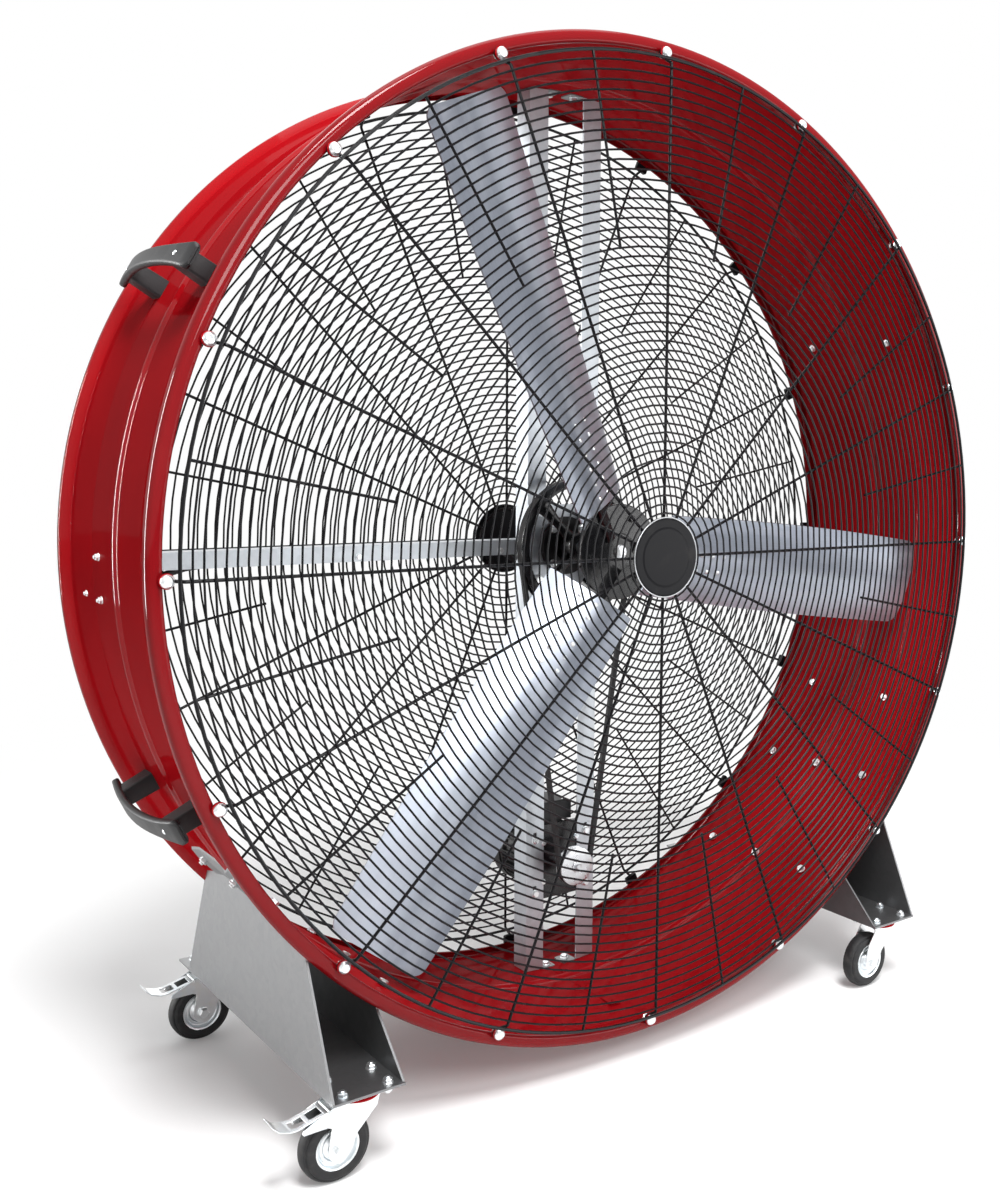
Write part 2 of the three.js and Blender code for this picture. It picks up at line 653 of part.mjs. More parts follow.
// ---------------------------------------------------------------- belt drive
// A V-grooved rim: the belt's outer face is level with the rim.
function groovedRim(radius, inner, segments) {
  const half = PULLEY_WIDTH / 2;
  const mouth = BELT_TOP_WIDTH / 2 + RUN_GAP;
  const floor = mouth - BELT_TAPER;
  const depth = BELT_THICKNESS + 2 * RUN_GAP;
  return revolveY([
    [inner, -half],
    [radius, -half],
    [radius, -mouth],
    [radius - depth, -floor],
    [radius - depth, floor],
    [radius, mouth],
    [radius, half],
    [inner, half],
  ], segments);
}

function drivenPulley() {
  const rim = groovedRim(DRIVEN_PULLEY_RADIUS, DRIVEN_PULLEY_RADIUS - PULLEY_RIM,
    DISC_SEGMENTS);
  const hub = discY(PULLEY_HUB_RADIUS, -PULLEY_HUB_LENGTH / 2, PULLEY_HUB_LENGTH / 2,
    SHAFT_SEGMENTS);
  const spokes = [];
  const thick = PULLEY_SPOKE_THICKNESS / 2;
  const wide = PULLEY_SPOKE_WIDTH / 2;
  const reach = DRIVEN_PULLEY_RADIUS - PULLEY_RIM + PULLEY_SPOKE_SINK;
  const narrow = wide * PULLEY_SPOKE_TAPER;
  for (let i = 0; i < PULLEY_SPOKES; i += 1) {
    const outline = [[0, -wide], [reach, -narrow], [reach, narrow], [0, wide]];
    const spoke = plateXZ(outline, -thick, thick);
    spokes.push(turnedAboutY(spoke, PULLEY_SPOKE_ANGLE + (i * 360) / PULLEY_SPOKES));
  }
  const bore = discY(SHAFT_RADIUS + FIT_GAP, -PULLEY_HUB_LENGTH, PULLEY_HUB_LENGTH, SHAFT_SEGMENTS);
  return movedBy(unite([rim, hub, ...spokes]).subtract(bore), 0, PULLEY_Y, 0);
}

function drivePulley() {
  const bore = MOTOR_SHAFT_RADIUS + FIT_GAP;
  const rim = groovedRim(DRIVE_PULLEY_RADIUS, bore, SHAFT_SEGMENTS);
  return movedBy(rim, 0, PULLEY_Y, -PULLEY_SPACING);
}

// One point of the belt's path for a direction of its outward normal, at a depth below its top.
function beltPoint(normal, lean, depth) {
  const onDriven = normal >= -lean - 1e-9 && normal <= Math.PI + lean + 1e-9;
  const radius = (onDriven ? DRIVEN_PULLEY_RADIUS : DRIVE_PULLEY_RADIUS) - depth;
  const centre = onDriven ? 0 : -PULLEY_SPACING;
  return [radius * Math.cos(normal), centre + radius * Math.sin(normal)];
}

function driveBelt() {
  const lean = Math.asin((DRIVEN_PULLEY_RADIUS - DRIVE_PULLEY_RADIUS) / PULLEY_SPACING);
  const [bigSteps, smallSteps, apart] = [18, 9, 1e-6];
  const normals = [];
  for (let i = 0; i <= bigSteps; i += 1) {
    normals.push(-lean + ((Math.PI + 2 * lean) * i) / bigSteps);
  }
  const start = Math.PI + lean;
  for (let i = 0; i <= smallSteps; i += 1) {
    normals.push(start + apart + ((Math.PI - 2 * (lean + apart)) * i) / smallSteps);
  }
  const top = BELT_TOP_WIDTH / 2;
  const section = [[0, -top], [0, top], [BELT_THICKNESS, top - BELT_TAPER],
    [BELT_THICKNESS, BELT_TAPER - top]];
  const rings = normals.map((normal) => section.map(([depth, y]) => {
    const [x, z] = beltPoint(normal, lean, depth);
    return [x, PULLEY_Y + y, z];
  }));
  return closedSweep(rings);
}

// Like loft, but the last ring joins the first.
function closedSweep(rings) {
  const count = rings[0].length;
  const total = rings.length * count;
  const index = [];
  for (let i = 0; i < rings.length; i += 1) {
    for (let j = 0; j < count; j += 1) {
      const a = i * count + j;
      const b = i * count + ((j + 1) % count);
      const c = (a + count) % total;
      const d = (b + count) % total;
      index.push(a, b, d, a, d, c);
    }
  }
  const geometry = new THREE.BufferGeometry();
  geometry.setAttribute('position', new THREE.Float32BufferAttribute(rings.flat(2), 3));
  geometry.setIndex(index);
  return toSolid(geometry);
}

// ---------------------------------------------------------------- motor
const MOTOR_PLATE_FRONT_Y = STRUT_FRONT_Y + STRUT_SHEET + FIT_GAP;
const MOTOR_FRONT_Y = MOTOR_PLATE_FRONT_Y + MOTOR_PLATE_THICKNESS + FIT_GAP;
const MOTOR_BACK_Y = MOTOR_FRONT_Y + MOTOR_LENGTH;
const TERMINAL_BOX_Y = MOTOR_FRONT_Y + MOTOR_LENGTH / 2;
const TERMINAL_BOX_BASE = MOTOR_RADIUS - PULLEY_SPACING + FIT_GAP;

function motorPlate() {
  const half = MOTOR_PLATE_HEIGHT / 2;
  const side = STRUT_X - STRUT_SHEET - FIT_GAP;
  const front = MOTOR_PLATE_FRONT_Y;
  const back = front + MOTOR_PLATE_THICKNESS;
  const plate = box(-side, side, front, back, -half, half);
  const bore = discY(MOTOR_SHAFT_RADIUS + RUN_GAP, front - CUT_PAST, back + CUT_PAST,
    SHAFT_SEGMENTS);
  return movedBy(plate.subtract(bore), 0, 0, -PULLEY_SPACING);
}

// A cast body with cooling fins all round.
function motorBody() {
  const outline = [];
  const root = MOTOR_RADIUS - MOTOR_FIN_DEPTH;
  const step = (2 * Math.PI) / MOTOR_FINS;
  const tip = MOTOR_FIN_SHARE / 2;
  const corners = [[root, -0.25], [MOTOR_RADIUS, -tip], [MOTOR_RADIUS, tip], [root, 0.25]];
  for (let i = 0; i < MOTOR_FINS; i += 1) {
    for (const [radius, turn] of corners) {
      const angle = (i + turn) * step + Math.PI / 2;
      outline.push([radius * Math.cos(angle), radius * Math.sin(angle)]);
    }
  }
  const body = plateXZ(outline, MOTOR_FRONT_Y, MOTOR_BACK_Y);
  const bore = discY(MOTOR_SHAFT_RADIUS + RUN_GAP, MOTOR_FRONT_Y - CUT_PAST,
    MOTOR_BACK_Y + CUT_PAST, SHAFT_SEGMENTS);
  return movedBy(body.subtract(bore), 0, 0, -PULLEY_SPACING);
}

function motorFanCover() {
  const front = MOTOR_BACK_Y + FIT_GAP;
  const back = front + MOTOR_COVER_LENGTH;
  const floor = back - MOTOR_COVER_SHEET;
  const inside = MOTOR_RADIUS - MOTOR_COVER_SHEET;
  const cover = revolveY([
    [0, floor],
    [inside - MOTOR_COVER_BEVEL, floor],
    [inside, floor - MOTOR_COVER_BEVEL],
    [inside, front],
    [MOTOR_RADIUS, front],
    [MOTOR_RADIUS, floor - MOTOR_COVER_BEVEL],
    [inside - MOTOR_COVER_BEVEL, back],
    [0, back],
  ], MOTOR_FINS);
  return movedBy(cover, 0, 0, -PULLEY_SPACING);
}

function motorShaft() {
  const front = PULLEY_Y - PULLEY_WIDTH / 2 - MOTOR_SHAFT_PROUD;
  return movedBy(discY(MOTOR_SHAFT_RADIUS, front, MOTOR_BACK_Y, SHAFT_SEGMENTS),
    0, 0, -PULLEY_SPACING);
}

function terminalBox() {
  const half = TERMINAL_BOX_WIDTH / 2;
  const bevel = TERMINAL_BOX_BEVEL;
  const base = TERMINAL_BOX_BASE;
  const top = base + TERMINAL_BOX_HEIGHT;
  const outline = [[-half, base], [half, base], [half, top - bevel], [half - bevel, top],
    [bevel - half, top], [-half, top - bevel]];
  const length = TERMINAL_BOX_LENGTH / 2;
  return plateXZ(outline, TERMINAL_BOX_Y - length, TERMINAL_BOX_Y + length);
}

// ---------------------------------------------------------------- switch box and cable
const SWITCH_BOX_X = -DRUM_INNER_RADIUS * Math.cos(Math.asin(SWITCH_BOX_BELOW / DRUM_INNER_RADIUS))
  + SWITCH_BOX_DEPTH;

function switchBox() {
  const half = SWITCH_BOX_HEIGHT / 2;
  const body = box(-DRUM_WALL_RADIUS, SWITCH_BOX_X,
    SWITCH_BOX_Y - SWITCH_BOX_LENGTH / 2, SWITCH_BOX_Y + SWITCH_BOX_LENGTH / 2,
    -SWITCH_BOX_BELOW - half, -SWITCH_BOX_BELOW + half);
  const outline = drumInnerHalf().map(([r, y]) => [r - FIT_GAP, y]).reverse();
  const bore = revolveY([[0, -DRUM_HALF], [DRUM_INNER_RADIUS - FIT_GAP, -DRUM_HALF],
    outline[0], outline[1], [outline[1][0], DRUM_HALF], [0, DRUM_HALF]], DRUM_SEGMENTS);
  return body.intersect(bore);
}

// The inlet for the supply, on the underside of the switch box.
function supplyGland() {
  const top = -SWITCH_BOX_BELOW - SWITCH_BOX_HEIGHT / 2 - FIT_GAP;
  const geometry = new THREE.CylinderGeometry(GLAND_RADIUS, GLAND_RADIUS, GLAND_LENGTH,
    SHAFT_SEGMENTS);
  geometry.rotateX(Math.PI / 2);
  geometry.translate(SWITCH_BOX_X - SWITCH_BOX_DEPTH / 2, SWITCH_BOX_Y, top - GLAND_LENGTH / 2);
  return toSolid(geometry);
}

// From the terminal box up the left strut, out along the side strut, down to the switch box.
function motorCable() {
  const web = -STRUT_X + STRUT_SHEET + CABLE_RADIUS + FIT_GAP;
  const behindWeb = STRUT_FRONT_Y + STRUT_WEB + CABLE_RADIUS + 1;
  const exit = TERMINAL_BOX_BASE + TERMINAL_BOX_HEIGHT / 2;
  const start = -TERMINAL_BOX_WIDTH / 2 - FIT_GAP;
  const under = STRUT_FRONT_Y + 2 * STRUT_SHEET + CABLE_RADIUS + 8;
  const boxFront = SWITCH_BOX_Y - SWITCH_BOX_LENGTH / 2 - FIT_GAP;
  const boxEntry = SWITCH_BOX_X - SWITCH_BOX_DEPTH / 2;
  const points = [
    [start, TERMINAL_BOX_Y, exit],
    [start - 6, TERMINAL_BOX_Y, exit],
    [start - 14, TERMINAL_BOX_Y - 1, exit + 2],
    [web + 5, TERMINAL_BOX_Y - 12, exit + 24],
    [web + 1, 92, exit + 70],
    [web, 84, exit + 200],
    [web, 84, -200],
    [web, 88, -110],
    [web + 2, 98, -66],
    [web - 1, behindWeb + 3, -38],
    [-102, behindWeb, -22],
    [-130, under + 6, -11],
    [-190, under, -8],
    [boxEntry / 2, under, -8],
    [boxEntry + 239, under, -8],
    [boxEntry + 119, under + 1, -12],
    [boxEntry + 67, under + 5, -26],
    [boxEntry + 10, boxFront - 18, -68],
    [boxEntry, boxFront - 8, -75],
    [boxEntry, boxFront - 4, -75],
    [boxEntry, boxFront, -75],
  ].map(([x, y, z]) => new THREE.Vector3(x, y, z));
  const section = new THREE.Shape();
  for (let i = 0; i < CABLE_SIDES; i += 1) {
    const angle = (i * 2 * Math.PI) / CABLE_SIDES;
    const [x, y] = [CABLE_RADIUS * Math.cos(angle), CABLE_RADIUS * Math.sin(angle)];
    if (i === 0) section.moveTo(x, y);
    else section.lineTo(x, y);
  }
  const path = new THREE.CatmullRomCurve3(points, false, 'centripetal');
  return toSolid(new THREE.ExtrudeGeometry(section, {
    steps: CABLE_STEPS, extrudePath: path, bevelEnabled: false,
  }));
}

// ---------------------------------------------------------------- feet
// One upright plate of a foot: it narrows from the floor to the rims, then enters the drum's
// outer channel between them.
function footPlate(x) {
  const bottom = -AXIS_ABOVE_FOOT;
  const [long, short] = [FOOT_LENGTH / 2, FOOT_TOP_LENGTH / 2];
  const shoulder = -Math.sqrt(DRUM_OUTER_RADIUS ** 2 - x ** 2);
  const top = -Math.sqrt(DRUM_WALL_RADIUS ** 2 - x ** 2) + FOOT_SHEET;
  const outline = [[-long, bottom], [long, bottom], [short, shoulder], [short, top],
    [-short, top], [-short, shoulder]];
  return plateYZ(outline, x, x + FOOT_SHEET);
}

// A folded channel, open at both ends, with flanges that lie on the drum; side is -1 or 1.
function foot(side) {
  const bottom = -AXIS_ABOVE_FOOT;
  const [long, short] = [FOOT_LENGTH / 2, FOOT_TOP_LENGTH / 2];
  const outer = footPlate(FOOT_OUTER_X - FOOT_SHEET);
  const inner = footPlate(FOOT_INNER_X);
  const floor = box(FOOT_INNER_X, FOOT_OUTER_X, -long, long + FOOT_TAIL,
    bottom, bottom + FOOT_SHEET);
  const skin = drumEnvelope(FIT_GAP + FOOT_SHEET);
  const flangeReach = short - FOOT_FLANGE_GAP;
  const band = (x0, x1) => skin.intersect(
    box(x0, x1, -flangeReach, flangeReach, -DRUM_OUTER_RADIUS, 0),
  );
  const outerFlange = band(FOOT_OUTER_X - FOOT_SHEET, FOOT_OUTER_X + FOOT_FLANGE_WIDTH);
  const innerFlange = band(FOOT_INNER_X - FOOT_INNER_FLANGE_WIDTH, FOOT_INNER_X + FOOT_SHEET);
  const whole = unite([outer, inner, floor, outerFlange, innerFlange]);
  const solid = whole.subtract(drumEnvelope(FIT_GAP));
  return side > 0 ? solid : solid.mirror([1, 0, 0]);
}

// ---------------------------------------------------------------- handles
// A bowed bar with flared ends on two square feet, standing on the wall at the given angle.
function handle(angle) {
  const half = HANDLE_LENGTH / 2;
  const geometry = handleBar(half);
  const positions = geometry.getAttribute('position');
  for (let i = 0; i < positions.count; i += 1) {
    const share = Math.abs(positions.getY(i)) / half;
    positions.setZ(i, positions.getZ(i) * (1 + HANDLE_FLARE * share ** 3));
  }
  const bar = toSolid(geometry);
  const feet = [-1, 1].map((end) => {
    const centre = (end * HANDLE_HOLE_SPACING) / 2;
    const height = handleHeight(HANDLE_HOLE_SPACING / 2, half) + HANDLE_THICKNESS / 2;
    return box(DRUM_INNER_RADIUS, DRUM_WALL_RADIUS + height,
      centre - HANDLE_FOOT / 2, centre + HANDLE_FOOT / 2, -HANDLE_WIDTH / 2, HANDLE_WIDTH / 2);
  });
  const turned = turnedAboutY(unite([bar, ...feet]), -angle);
  return turned.subtract(drumEnvelope(FIT_GAP));
}

const handleHeight = (y, half) => HANDLE_END_HEIGHT + HANDLE_BOW * (1 - (y / half) ** 2);

function handleBar(half) {
  const outer = [];
  const inner = [];
  for (let i = 0; i <= HANDLE_STEPS; i += 1) {
    const y = half * ((2 * i) / HANDLE_STEPS - 1);
    const base = DRUM_WALL_RADIUS + handleHeight(y, half);
    inner.push([base, y]);
    outer.unshift([base + HANDLE_THICKNESS, y]);
  }
  const shape = new THREE.Shape([...inner, ...outer].map(([x, y]) => new THREE.Vector2(x, y)));
  const depth = HANDLE_WIDTH;
  const geometry = new THREE.ExtrudeGeometry(shape, { depth, bevelEnabled: false });
  return geometry.translate(0, 0, -depth / 2);
}

// ---------------------------------------------------------------- castors
// Castor pieces are made about the swivel axis, with the wheel trailing towards -X.
const CASTOR_RACE_BOTTOM = CASTOR_HEIGHT - FIT_GAP - CASTOR_PLATE_THICKNESS - CASTOR_RACE_HEIGHT;
const FORK_TOP = CASTOR_RACE_BOTTOM - FIT_GAP;
const FORK_INSIDE = WHEEL_WIDTH / 2 + FORK_SIDE_GAP;
const FORK_OUTSIDE = FORK_INSIDE + FORK_SHEET;

function uprightCylinder(radius, z0, z1, segments) {
  const geometry = new THREE.CylinderGeometry(radius, radius, z1 - z0, segments);
  return toSolid(geometry.rotateX(Math.PI / 2).translate(0, 0, (z0 + z1) / 2));
}

function castorPlate() {
  const top = CASTOR_HEIGHT - FIT_GAP;
  const under = top - CASTOR_PLATE_THICKNESS;
  const [length, width] = [CASTOR_PLATE_LENGTH / 2, CASTOR_PLATE_WIDTH / 2];
  const plate = box(-length, length, -width, width, under, top);
  const race = uprightCylinder(CASTOR_RACE_RADIUS, CASTOR_RACE_BOTTOM, (under + top) / 2,
    RACE_SEGMENTS);
  return plate.add(race);
}

// One leg of the fork, seen from the side; the wing that carries a brake is optional.
function forkLegOutline(hasBrake) {
  const legTop = CASTOR_RACE_RADIUS - FORK_LEG_INSET;
  const outline = [[legTop, FORK_TOP]];
  const [arcSteps, arcStart, arcTurn] = [5, -20, 150];
  for (let i = 0; i <= arcSteps; i += 1) {
    const angle = (arcStart - (i * arcTurn) / arcSteps) * DEGREE;
    outline.push([FORK_BOTTOM_RADIUS * Math.cos(angle) - CASTOR_TRAIL,
      FORK_BOTTOM_RADIUS * Math.sin(angle) + WHEEL_RADIUS]);
  }
  outline.push([-FORK_WAIST_X, FORK_WING_BOTTOM]);
  if (hasBrake) {
    outline.push([-FORK_WING_X, FORK_WING_BOTTOM]);
    outline.push([-FORK_WING_X, FORK_WING_TOP]);
    outline.push([-PEDAL_PIVOT_X, FORK_TOP]);
  } else {
    outline.push([-legTop, FORK_TOP]);
  }
  return outline;
}

function castorFork(hasBrake) {
  const outline = forkLegOutline(hasBrake);
  const legs = [plateXZ(outline, FORK_INSIDE, FORK_OUTSIDE),
    plateXZ(outline, -FORK_OUTSIDE, -FORK_INSIDE)];
  const reach = CASTOR_RACE_RADIUS - FORK_LEG_INSET;
  const crown = box(-reach, reach, -FORK_OUTSIDE, FORK_OUTSIDE, FORK_TOP - FORK_SHEET, FORK_TOP);
  const through = FORK_OUTSIDE + FIT_GAP;
  const axleBore = movedBy(discY(AXLE_RADIUS + FIT_GAP, -through, through, PIN_SEGMENTS),
    -CASTOR_TRAIL, 0, WHEEL_RADIUS);
  const pinBore = movedBy(discY(PEDAL_PIN_RADIUS + RUN_GAP, -through, through, PIN_SEGMENTS),
    -PEDAL_PIVOT_X, 0, PEDAL_PIVOT_Z);
  return cut(unite([...legs, crown]), hasBrake ? [axleBore, pinBore] : [axleBore]);
}

function castorAxle() {
  const side = FORK_OUTSIDE + FIT_GAP;
  const end = side + AXLE_HEAD_LENGTH;
  const bolt = revolveY([
    [0, -end], [AXLE_HEAD_RADIUS, -end], [AXLE_HEAD_RADIUS, -side], [AXLE_RADIUS, -side],
    [AXLE_RADIUS, side], [AXLE_HEAD_RADIUS, side], [AXLE_HEAD_RADIUS, end], [0, end],
  ], PIN_SEGMENTS);
  return movedBy(bolt, -CASTOR_TRAIL, 0, WHEEL_RADIUS);
}

// A pressed steel wheel: hub tube, dished disc and the seat of the tyre.
function wheelRim() {
  const bore = AXLE_RADIUS + RUN_GAP;
  const hub = WHEEL_WIDTH / 2 + WHEEL_HUB_PROUD;
  const disc = WHEEL_DISC_THICKNESS / 2;
  const seat = WHEEL_WIDTH / 2 - WHEEL_RIM_INSET;
  const foot = WHEEL_RIM_RADIUS - WHEEL_RIM_SLOPE;
  const rim = revolveY([
    [bore, -hub], [WHEEL_HUB_RADIUS, -hub], [WHEEL_HUB_RADIUS, -disc], [foot, -disc],
    [WHEEL_RIM_RADIUS, -seat], [WHEEL_RIM_RADIUS, seat],
    [foot, disc], [WHEEL_HUB_RADIUS, disc], [WHEEL_HUB_RADIUS, hub], [bore, hub],
  ], RIM_SEGMENTS);
  return movedBy(rim, -CASTOR_TRAIL, 0, WHEEL_RADIUS);
}

// The tread is a prism whose lowest facet lies flat on the floor.
function wheelTyre() {
  const halfFacet = Math.PI / WHEEL_SEGMENTS;
  const tread = WHEEL_RADIUS / Math.cos(halfFacet);
  const seat = WHEEL_RIM_RADIUS / Math.cos(halfFacet) + FIT_GAP;
  const half = WHEEL_WIDTH / 2;
  const tyre = revolveY([
    [seat, -half], [tread - WHEEL_SHOULDER, -half], [tread, -half + WHEEL_SHOULDER],
    [tread, half - WHEEL_SHOULDER], [tread - WHEEL_SHOULDER, half], [seat, half],
  ], WHEEL_SEGMENTS);
  return movedBy(turnedAboutY(tyre, 180 / WHEEL_SEGMENTS), -CASTOR_TRAIL, 0, WHEEL_RADIUS);
}

// The top of the pedal's tread from nose to toe, as [x, z] pairs from its pin.
const PEDAL_LINE = [
  [PEDAL_NOSE, PEDAL_NOSE_RISE],
  [-PEDAL_BEND_X, -PEDAL_DROP],
  [-PEDAL_BEND_X - PEDAL_BEND_LENGTH, -PEDAL_DROP],
  [PEDAL_PIVOT_X - PEDAL_TIP_REACH + PEDAL_TOE_LENGTH, -PEDAL_DROP + PEDAL_TOE_RISE],
  [PEDAL_PIVOT_X - PEDAL_TIP_REACH, -PEDAL_DROP + 2 * PEDAL_TOE_RISE],
];

// A pressed pedal that hangs on a pin between the fork's wings, with an upturned toe.
function brakePedal() {
  const above = PEDAL_LINE;
  const below = PEDAL_LINE.map(([x, z]) => [x, z - PEDAL_SHEET]).reverse();
  const half = FORK_INSIDE - RUN_GAP;
  const tread = plateXZ([...above, ...below], -half, half);
  const ear = [[-PEDAL_LUG, -PEDAL_LUG], [PEDAL_LUG, -PEDAL_LUG],
    [PEDAL_LUG, PEDAL_NOSE_RISE - PEDAL_SHEET / 2], [-PEDAL_LUG, -PEDAL_SHEET / 2]];
  const ears = [plateXZ(ear, half - PEDAL_SHEET, half), plateXZ(ear, -half, PEDAL_SHEET - half)];
  const reach = FORK_OUTSIDE + FIT_GAP;
  const pin = discY(PEDAL_PIN_RADIUS, -reach, reach, PIN_SEGMENTS);
  return movedBy(unite([tread, ...ears, pin]), -PEDAL_PIVOT_X, 0, PEDAL_PIVOT_Z);
}

// ---------------------------------------------------------------- assembly
const fan = new THREE.Group();
fan.name = 'drum_fan';
const onAxis = new THREE.Group();
onAxis.position.set(0, DRUM_MIDDLE_Y, AXIS_HEIGHT);
fan.add(onAxis);

function piece(parent, name, solid, finish) {
  const mesh = new THREE.Mesh(toGeometry(solid), new THREE.MeshStandardMaterial(finish));
  mesh.name = name;
  parent.add(mesh);
  return mesh;
}

function addGuard(side, name) {
  const guard = piece(onAxis, `${name}_guard`, wireGuard(), BLACK_WIRE);
  const plate = piece(onAxis, `${name}_centre_plate`, centrePlate(), BLACK_PAINT);
  for (const mesh of [guard, plate]) {
    mesh.position.y = side * GUARD_Y;
    mesh.rotation.z = side > 0 ? Math.PI : 0;
  }
}

function addDrum() {
  piece(onAxis, 'drum_shell', drumShell(), RED_PAINT);
  addGuard(-1, 'front');
  addGuard(1, 'rear');
  piece(onAxis, 'left_strut', strut(-1), GALVANISED);
  piece(onAxis, 'right_strut', strut(1), GALVANISED);
  piece(onAxis, 'side_strut', sideStrut(), GALVANISED);
  for (const [name, angle] of [['left_upper', 180 - HANDLE_UPPER_ANGLE],
    ['left_lower', 180 + HANDLE_LOWER_ANGLE], ['right_upper', HANDLE_UPPER_ANGLE],
    ['right_lower', -HANDLE_LOWER_ANGLE]]) {
    piece(onAxis, `handle_${name}`, handle(angle), BLACK_PLASTIC);
  }
}

function addRotor() {
  piece(onAxis, 'fan_shaft', fanShaft(), STEEL);
  piece(onAxis, 'blade_hub', bladeHub(), BLACK_PAINT);
  for (let i = 0; i < BLADE_COUNT; i += 1) {
    const angle = BLADE_FIRST_ANGLE + (i * 360) / BLADE_COUNT;
    piece(onAxis, `blade_${i + 1}`, blade(angle), BLADE_METAL);
  }
  piece(onAxis, 'driven_pulley', drivenPulley(), BLACK_PAINT);
  piece(onAxis, 'bearing_plate', bearingPlate(), GALVANISED);
  piece(onAxis, 'bearing_housing', bearingHousing(), BLACK_PAINT);
  piece(onAxis, 'front_bearing', bearing(HOUSING_FRONT_Y + BEARING_INSET), STEEL);
  piece(onAxis, 'rear_bearing',
    bearing(HOUSING_BACK_Y - BEARING_INSET - BEARING_WIDTH), STEEL);
}

function addDrive() {
  piece(onAxis, 'drive_belt', driveBelt(), RUBBER);
  piece(onAxis, 'drive_pulley', drivePulley(), STEEL);
  piece(onAxis, 'motor_shaft', motorShaft(), STEEL);
  piece(onAxis, 'motor_plate', motorPlate(), BLACK_PAINT);
  piece(onAxis, 'motor_body', motorBody(), BLACK_PAINT);
  piece(onAxis, 'motor_fan_cover', motorFanCover(), BLACK_PAINT);
  piece(onAxis, 'terminal_box', terminalBox(), BLACK_PLASTIC);
  piece(onAxis, 'switch_box', switchBox(), BLACK_PLASTIC);
  piece(onAxis, 'supply_gland', supplyGland(), BLACK_PLASTIC);
  piece(onAxis, 'motor_cable', motorCable(), RUBBER);
}

function addCastor(name, x, y, hasBrake) {
  const group = new THREE.Group();
  group.position.set(x, DRUM_MIDDLE_Y + y, 0);
  fan.add(group);
  piece(group, `${name}_castor_plate`, castorPlate(), ZINC);
  piece(group, `${name}_castor_fork`, castorFork(hasBrake), ZINC);
  piece(group, `${name}_castor_axle`, castorAxle(), ZINC);
  piece(group, `${name}_wheel_rim`, wheelRim(), ZINC);
  piece(group, `${name}_tyre`, wheelTyre(), RUBBER);
  if (hasBrake) piece(group, `${name}_brake_pedal`, brakePedal(), ZINC);
}

addDrum();
addRotor();
addDrive();
piece(onAxis, 'left_foot', foot(-1), GALVANISED);
piece(onAxis, 'right_foot', foot(1), GALVANISED);
addCastor('front_left', -CASTOR_X, FRONT_CASTOR_Y, true);
addCastor('rear_left', -CASTOR_X, REAR_CASTOR_Y, true);
addCastor('front_right', CASTOR_X, FRONT_CASTOR_Y, false);
addCastor('rear_right', CASTOR_X, REAR_CASTOR_Y, false);

export default fan;
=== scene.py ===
"""Looks of a belt-driven drum fan on four castors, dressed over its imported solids.

Lengths are metres. +Z is up and +Y runs from the front guard to the rear guard.
"""

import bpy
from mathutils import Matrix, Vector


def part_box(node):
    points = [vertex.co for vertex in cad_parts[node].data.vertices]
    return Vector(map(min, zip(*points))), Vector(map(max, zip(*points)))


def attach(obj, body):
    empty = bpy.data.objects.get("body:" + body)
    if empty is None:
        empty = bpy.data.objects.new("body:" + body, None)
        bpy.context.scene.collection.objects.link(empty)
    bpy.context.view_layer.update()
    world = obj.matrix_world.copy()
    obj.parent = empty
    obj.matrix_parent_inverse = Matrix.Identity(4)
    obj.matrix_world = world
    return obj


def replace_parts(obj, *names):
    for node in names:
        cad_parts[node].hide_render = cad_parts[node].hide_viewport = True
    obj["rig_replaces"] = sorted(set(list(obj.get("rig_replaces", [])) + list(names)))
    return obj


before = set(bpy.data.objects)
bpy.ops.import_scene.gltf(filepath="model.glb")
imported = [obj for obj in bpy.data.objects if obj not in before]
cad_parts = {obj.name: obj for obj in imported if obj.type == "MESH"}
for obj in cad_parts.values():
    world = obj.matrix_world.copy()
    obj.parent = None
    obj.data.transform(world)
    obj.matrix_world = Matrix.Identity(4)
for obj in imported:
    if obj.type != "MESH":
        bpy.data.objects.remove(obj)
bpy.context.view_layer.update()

import logging
import math
from collections.abc import Iterable, Sequence
from dataclasses import dataclass
from enum import Enum

import bpy
from mathutils import Matrix, Vector

log = logging.getLogger("drum_fan")

Point = tuple[float, float, float]
Pair = tuple[float, float]
Colour = tuple[float, float, float]

EVEN: Point = (1.0, 1.0, 1.0)


def shift(x: float, y: float, z: float) -> Matrix:
    """A frame moved by x, y and z."""
    return Matrix.Translation((x, y, z))


def about_y(degrees: float) -> Matrix:
    """A frame turned about the Y axis."""
    return Matrix.Rotation(math.radians(degrees), 4, "Y")


def turns(count: int, first: float = 0.0) -> list[Matrix]:
    """Frames turned evenly about the Y axis, from a first angle in degrees."""
    return [about_y(first + 360.0 * i / count) for i in range(count)]


def upright(y: float) -> Matrix:
    """A frame whose X and Y axes lie along X and Z, at a given y."""
    return Matrix(((1, 0, 0, 0), (0, 0, 1, y), (0, 1, 0, 0), (0, 0, 0, 1)))


AXIS_HEIGHT = 0.987
DRUM_Y = -0.029
ON_AXIS = shift(0.0, DRUM_Y, AXIS_HEIGHT)
UNDER_DRUM = shift(0.0, DRUM_Y, 0.0)
AROUND_Y = Matrix.Rotation(math.radians(-90.0), 4, "X")
HALF_TURN = Matrix.Rotation(math.pi, 4, "Z")
SHARP_ANGLE = math.radians(38.0)
BEVEL_ANGLE = math.radians(28.0)
CASTOR_BOLTS = (0.080, 0.060)
CASTOR_X = 0.637
CASTOR_Y = 0.312
HANDLE_ANGLES = {
    "left_upper": 150.0, "left_lower": 205.0, "right_upper": 30.0, "right_lower": -25.0
}


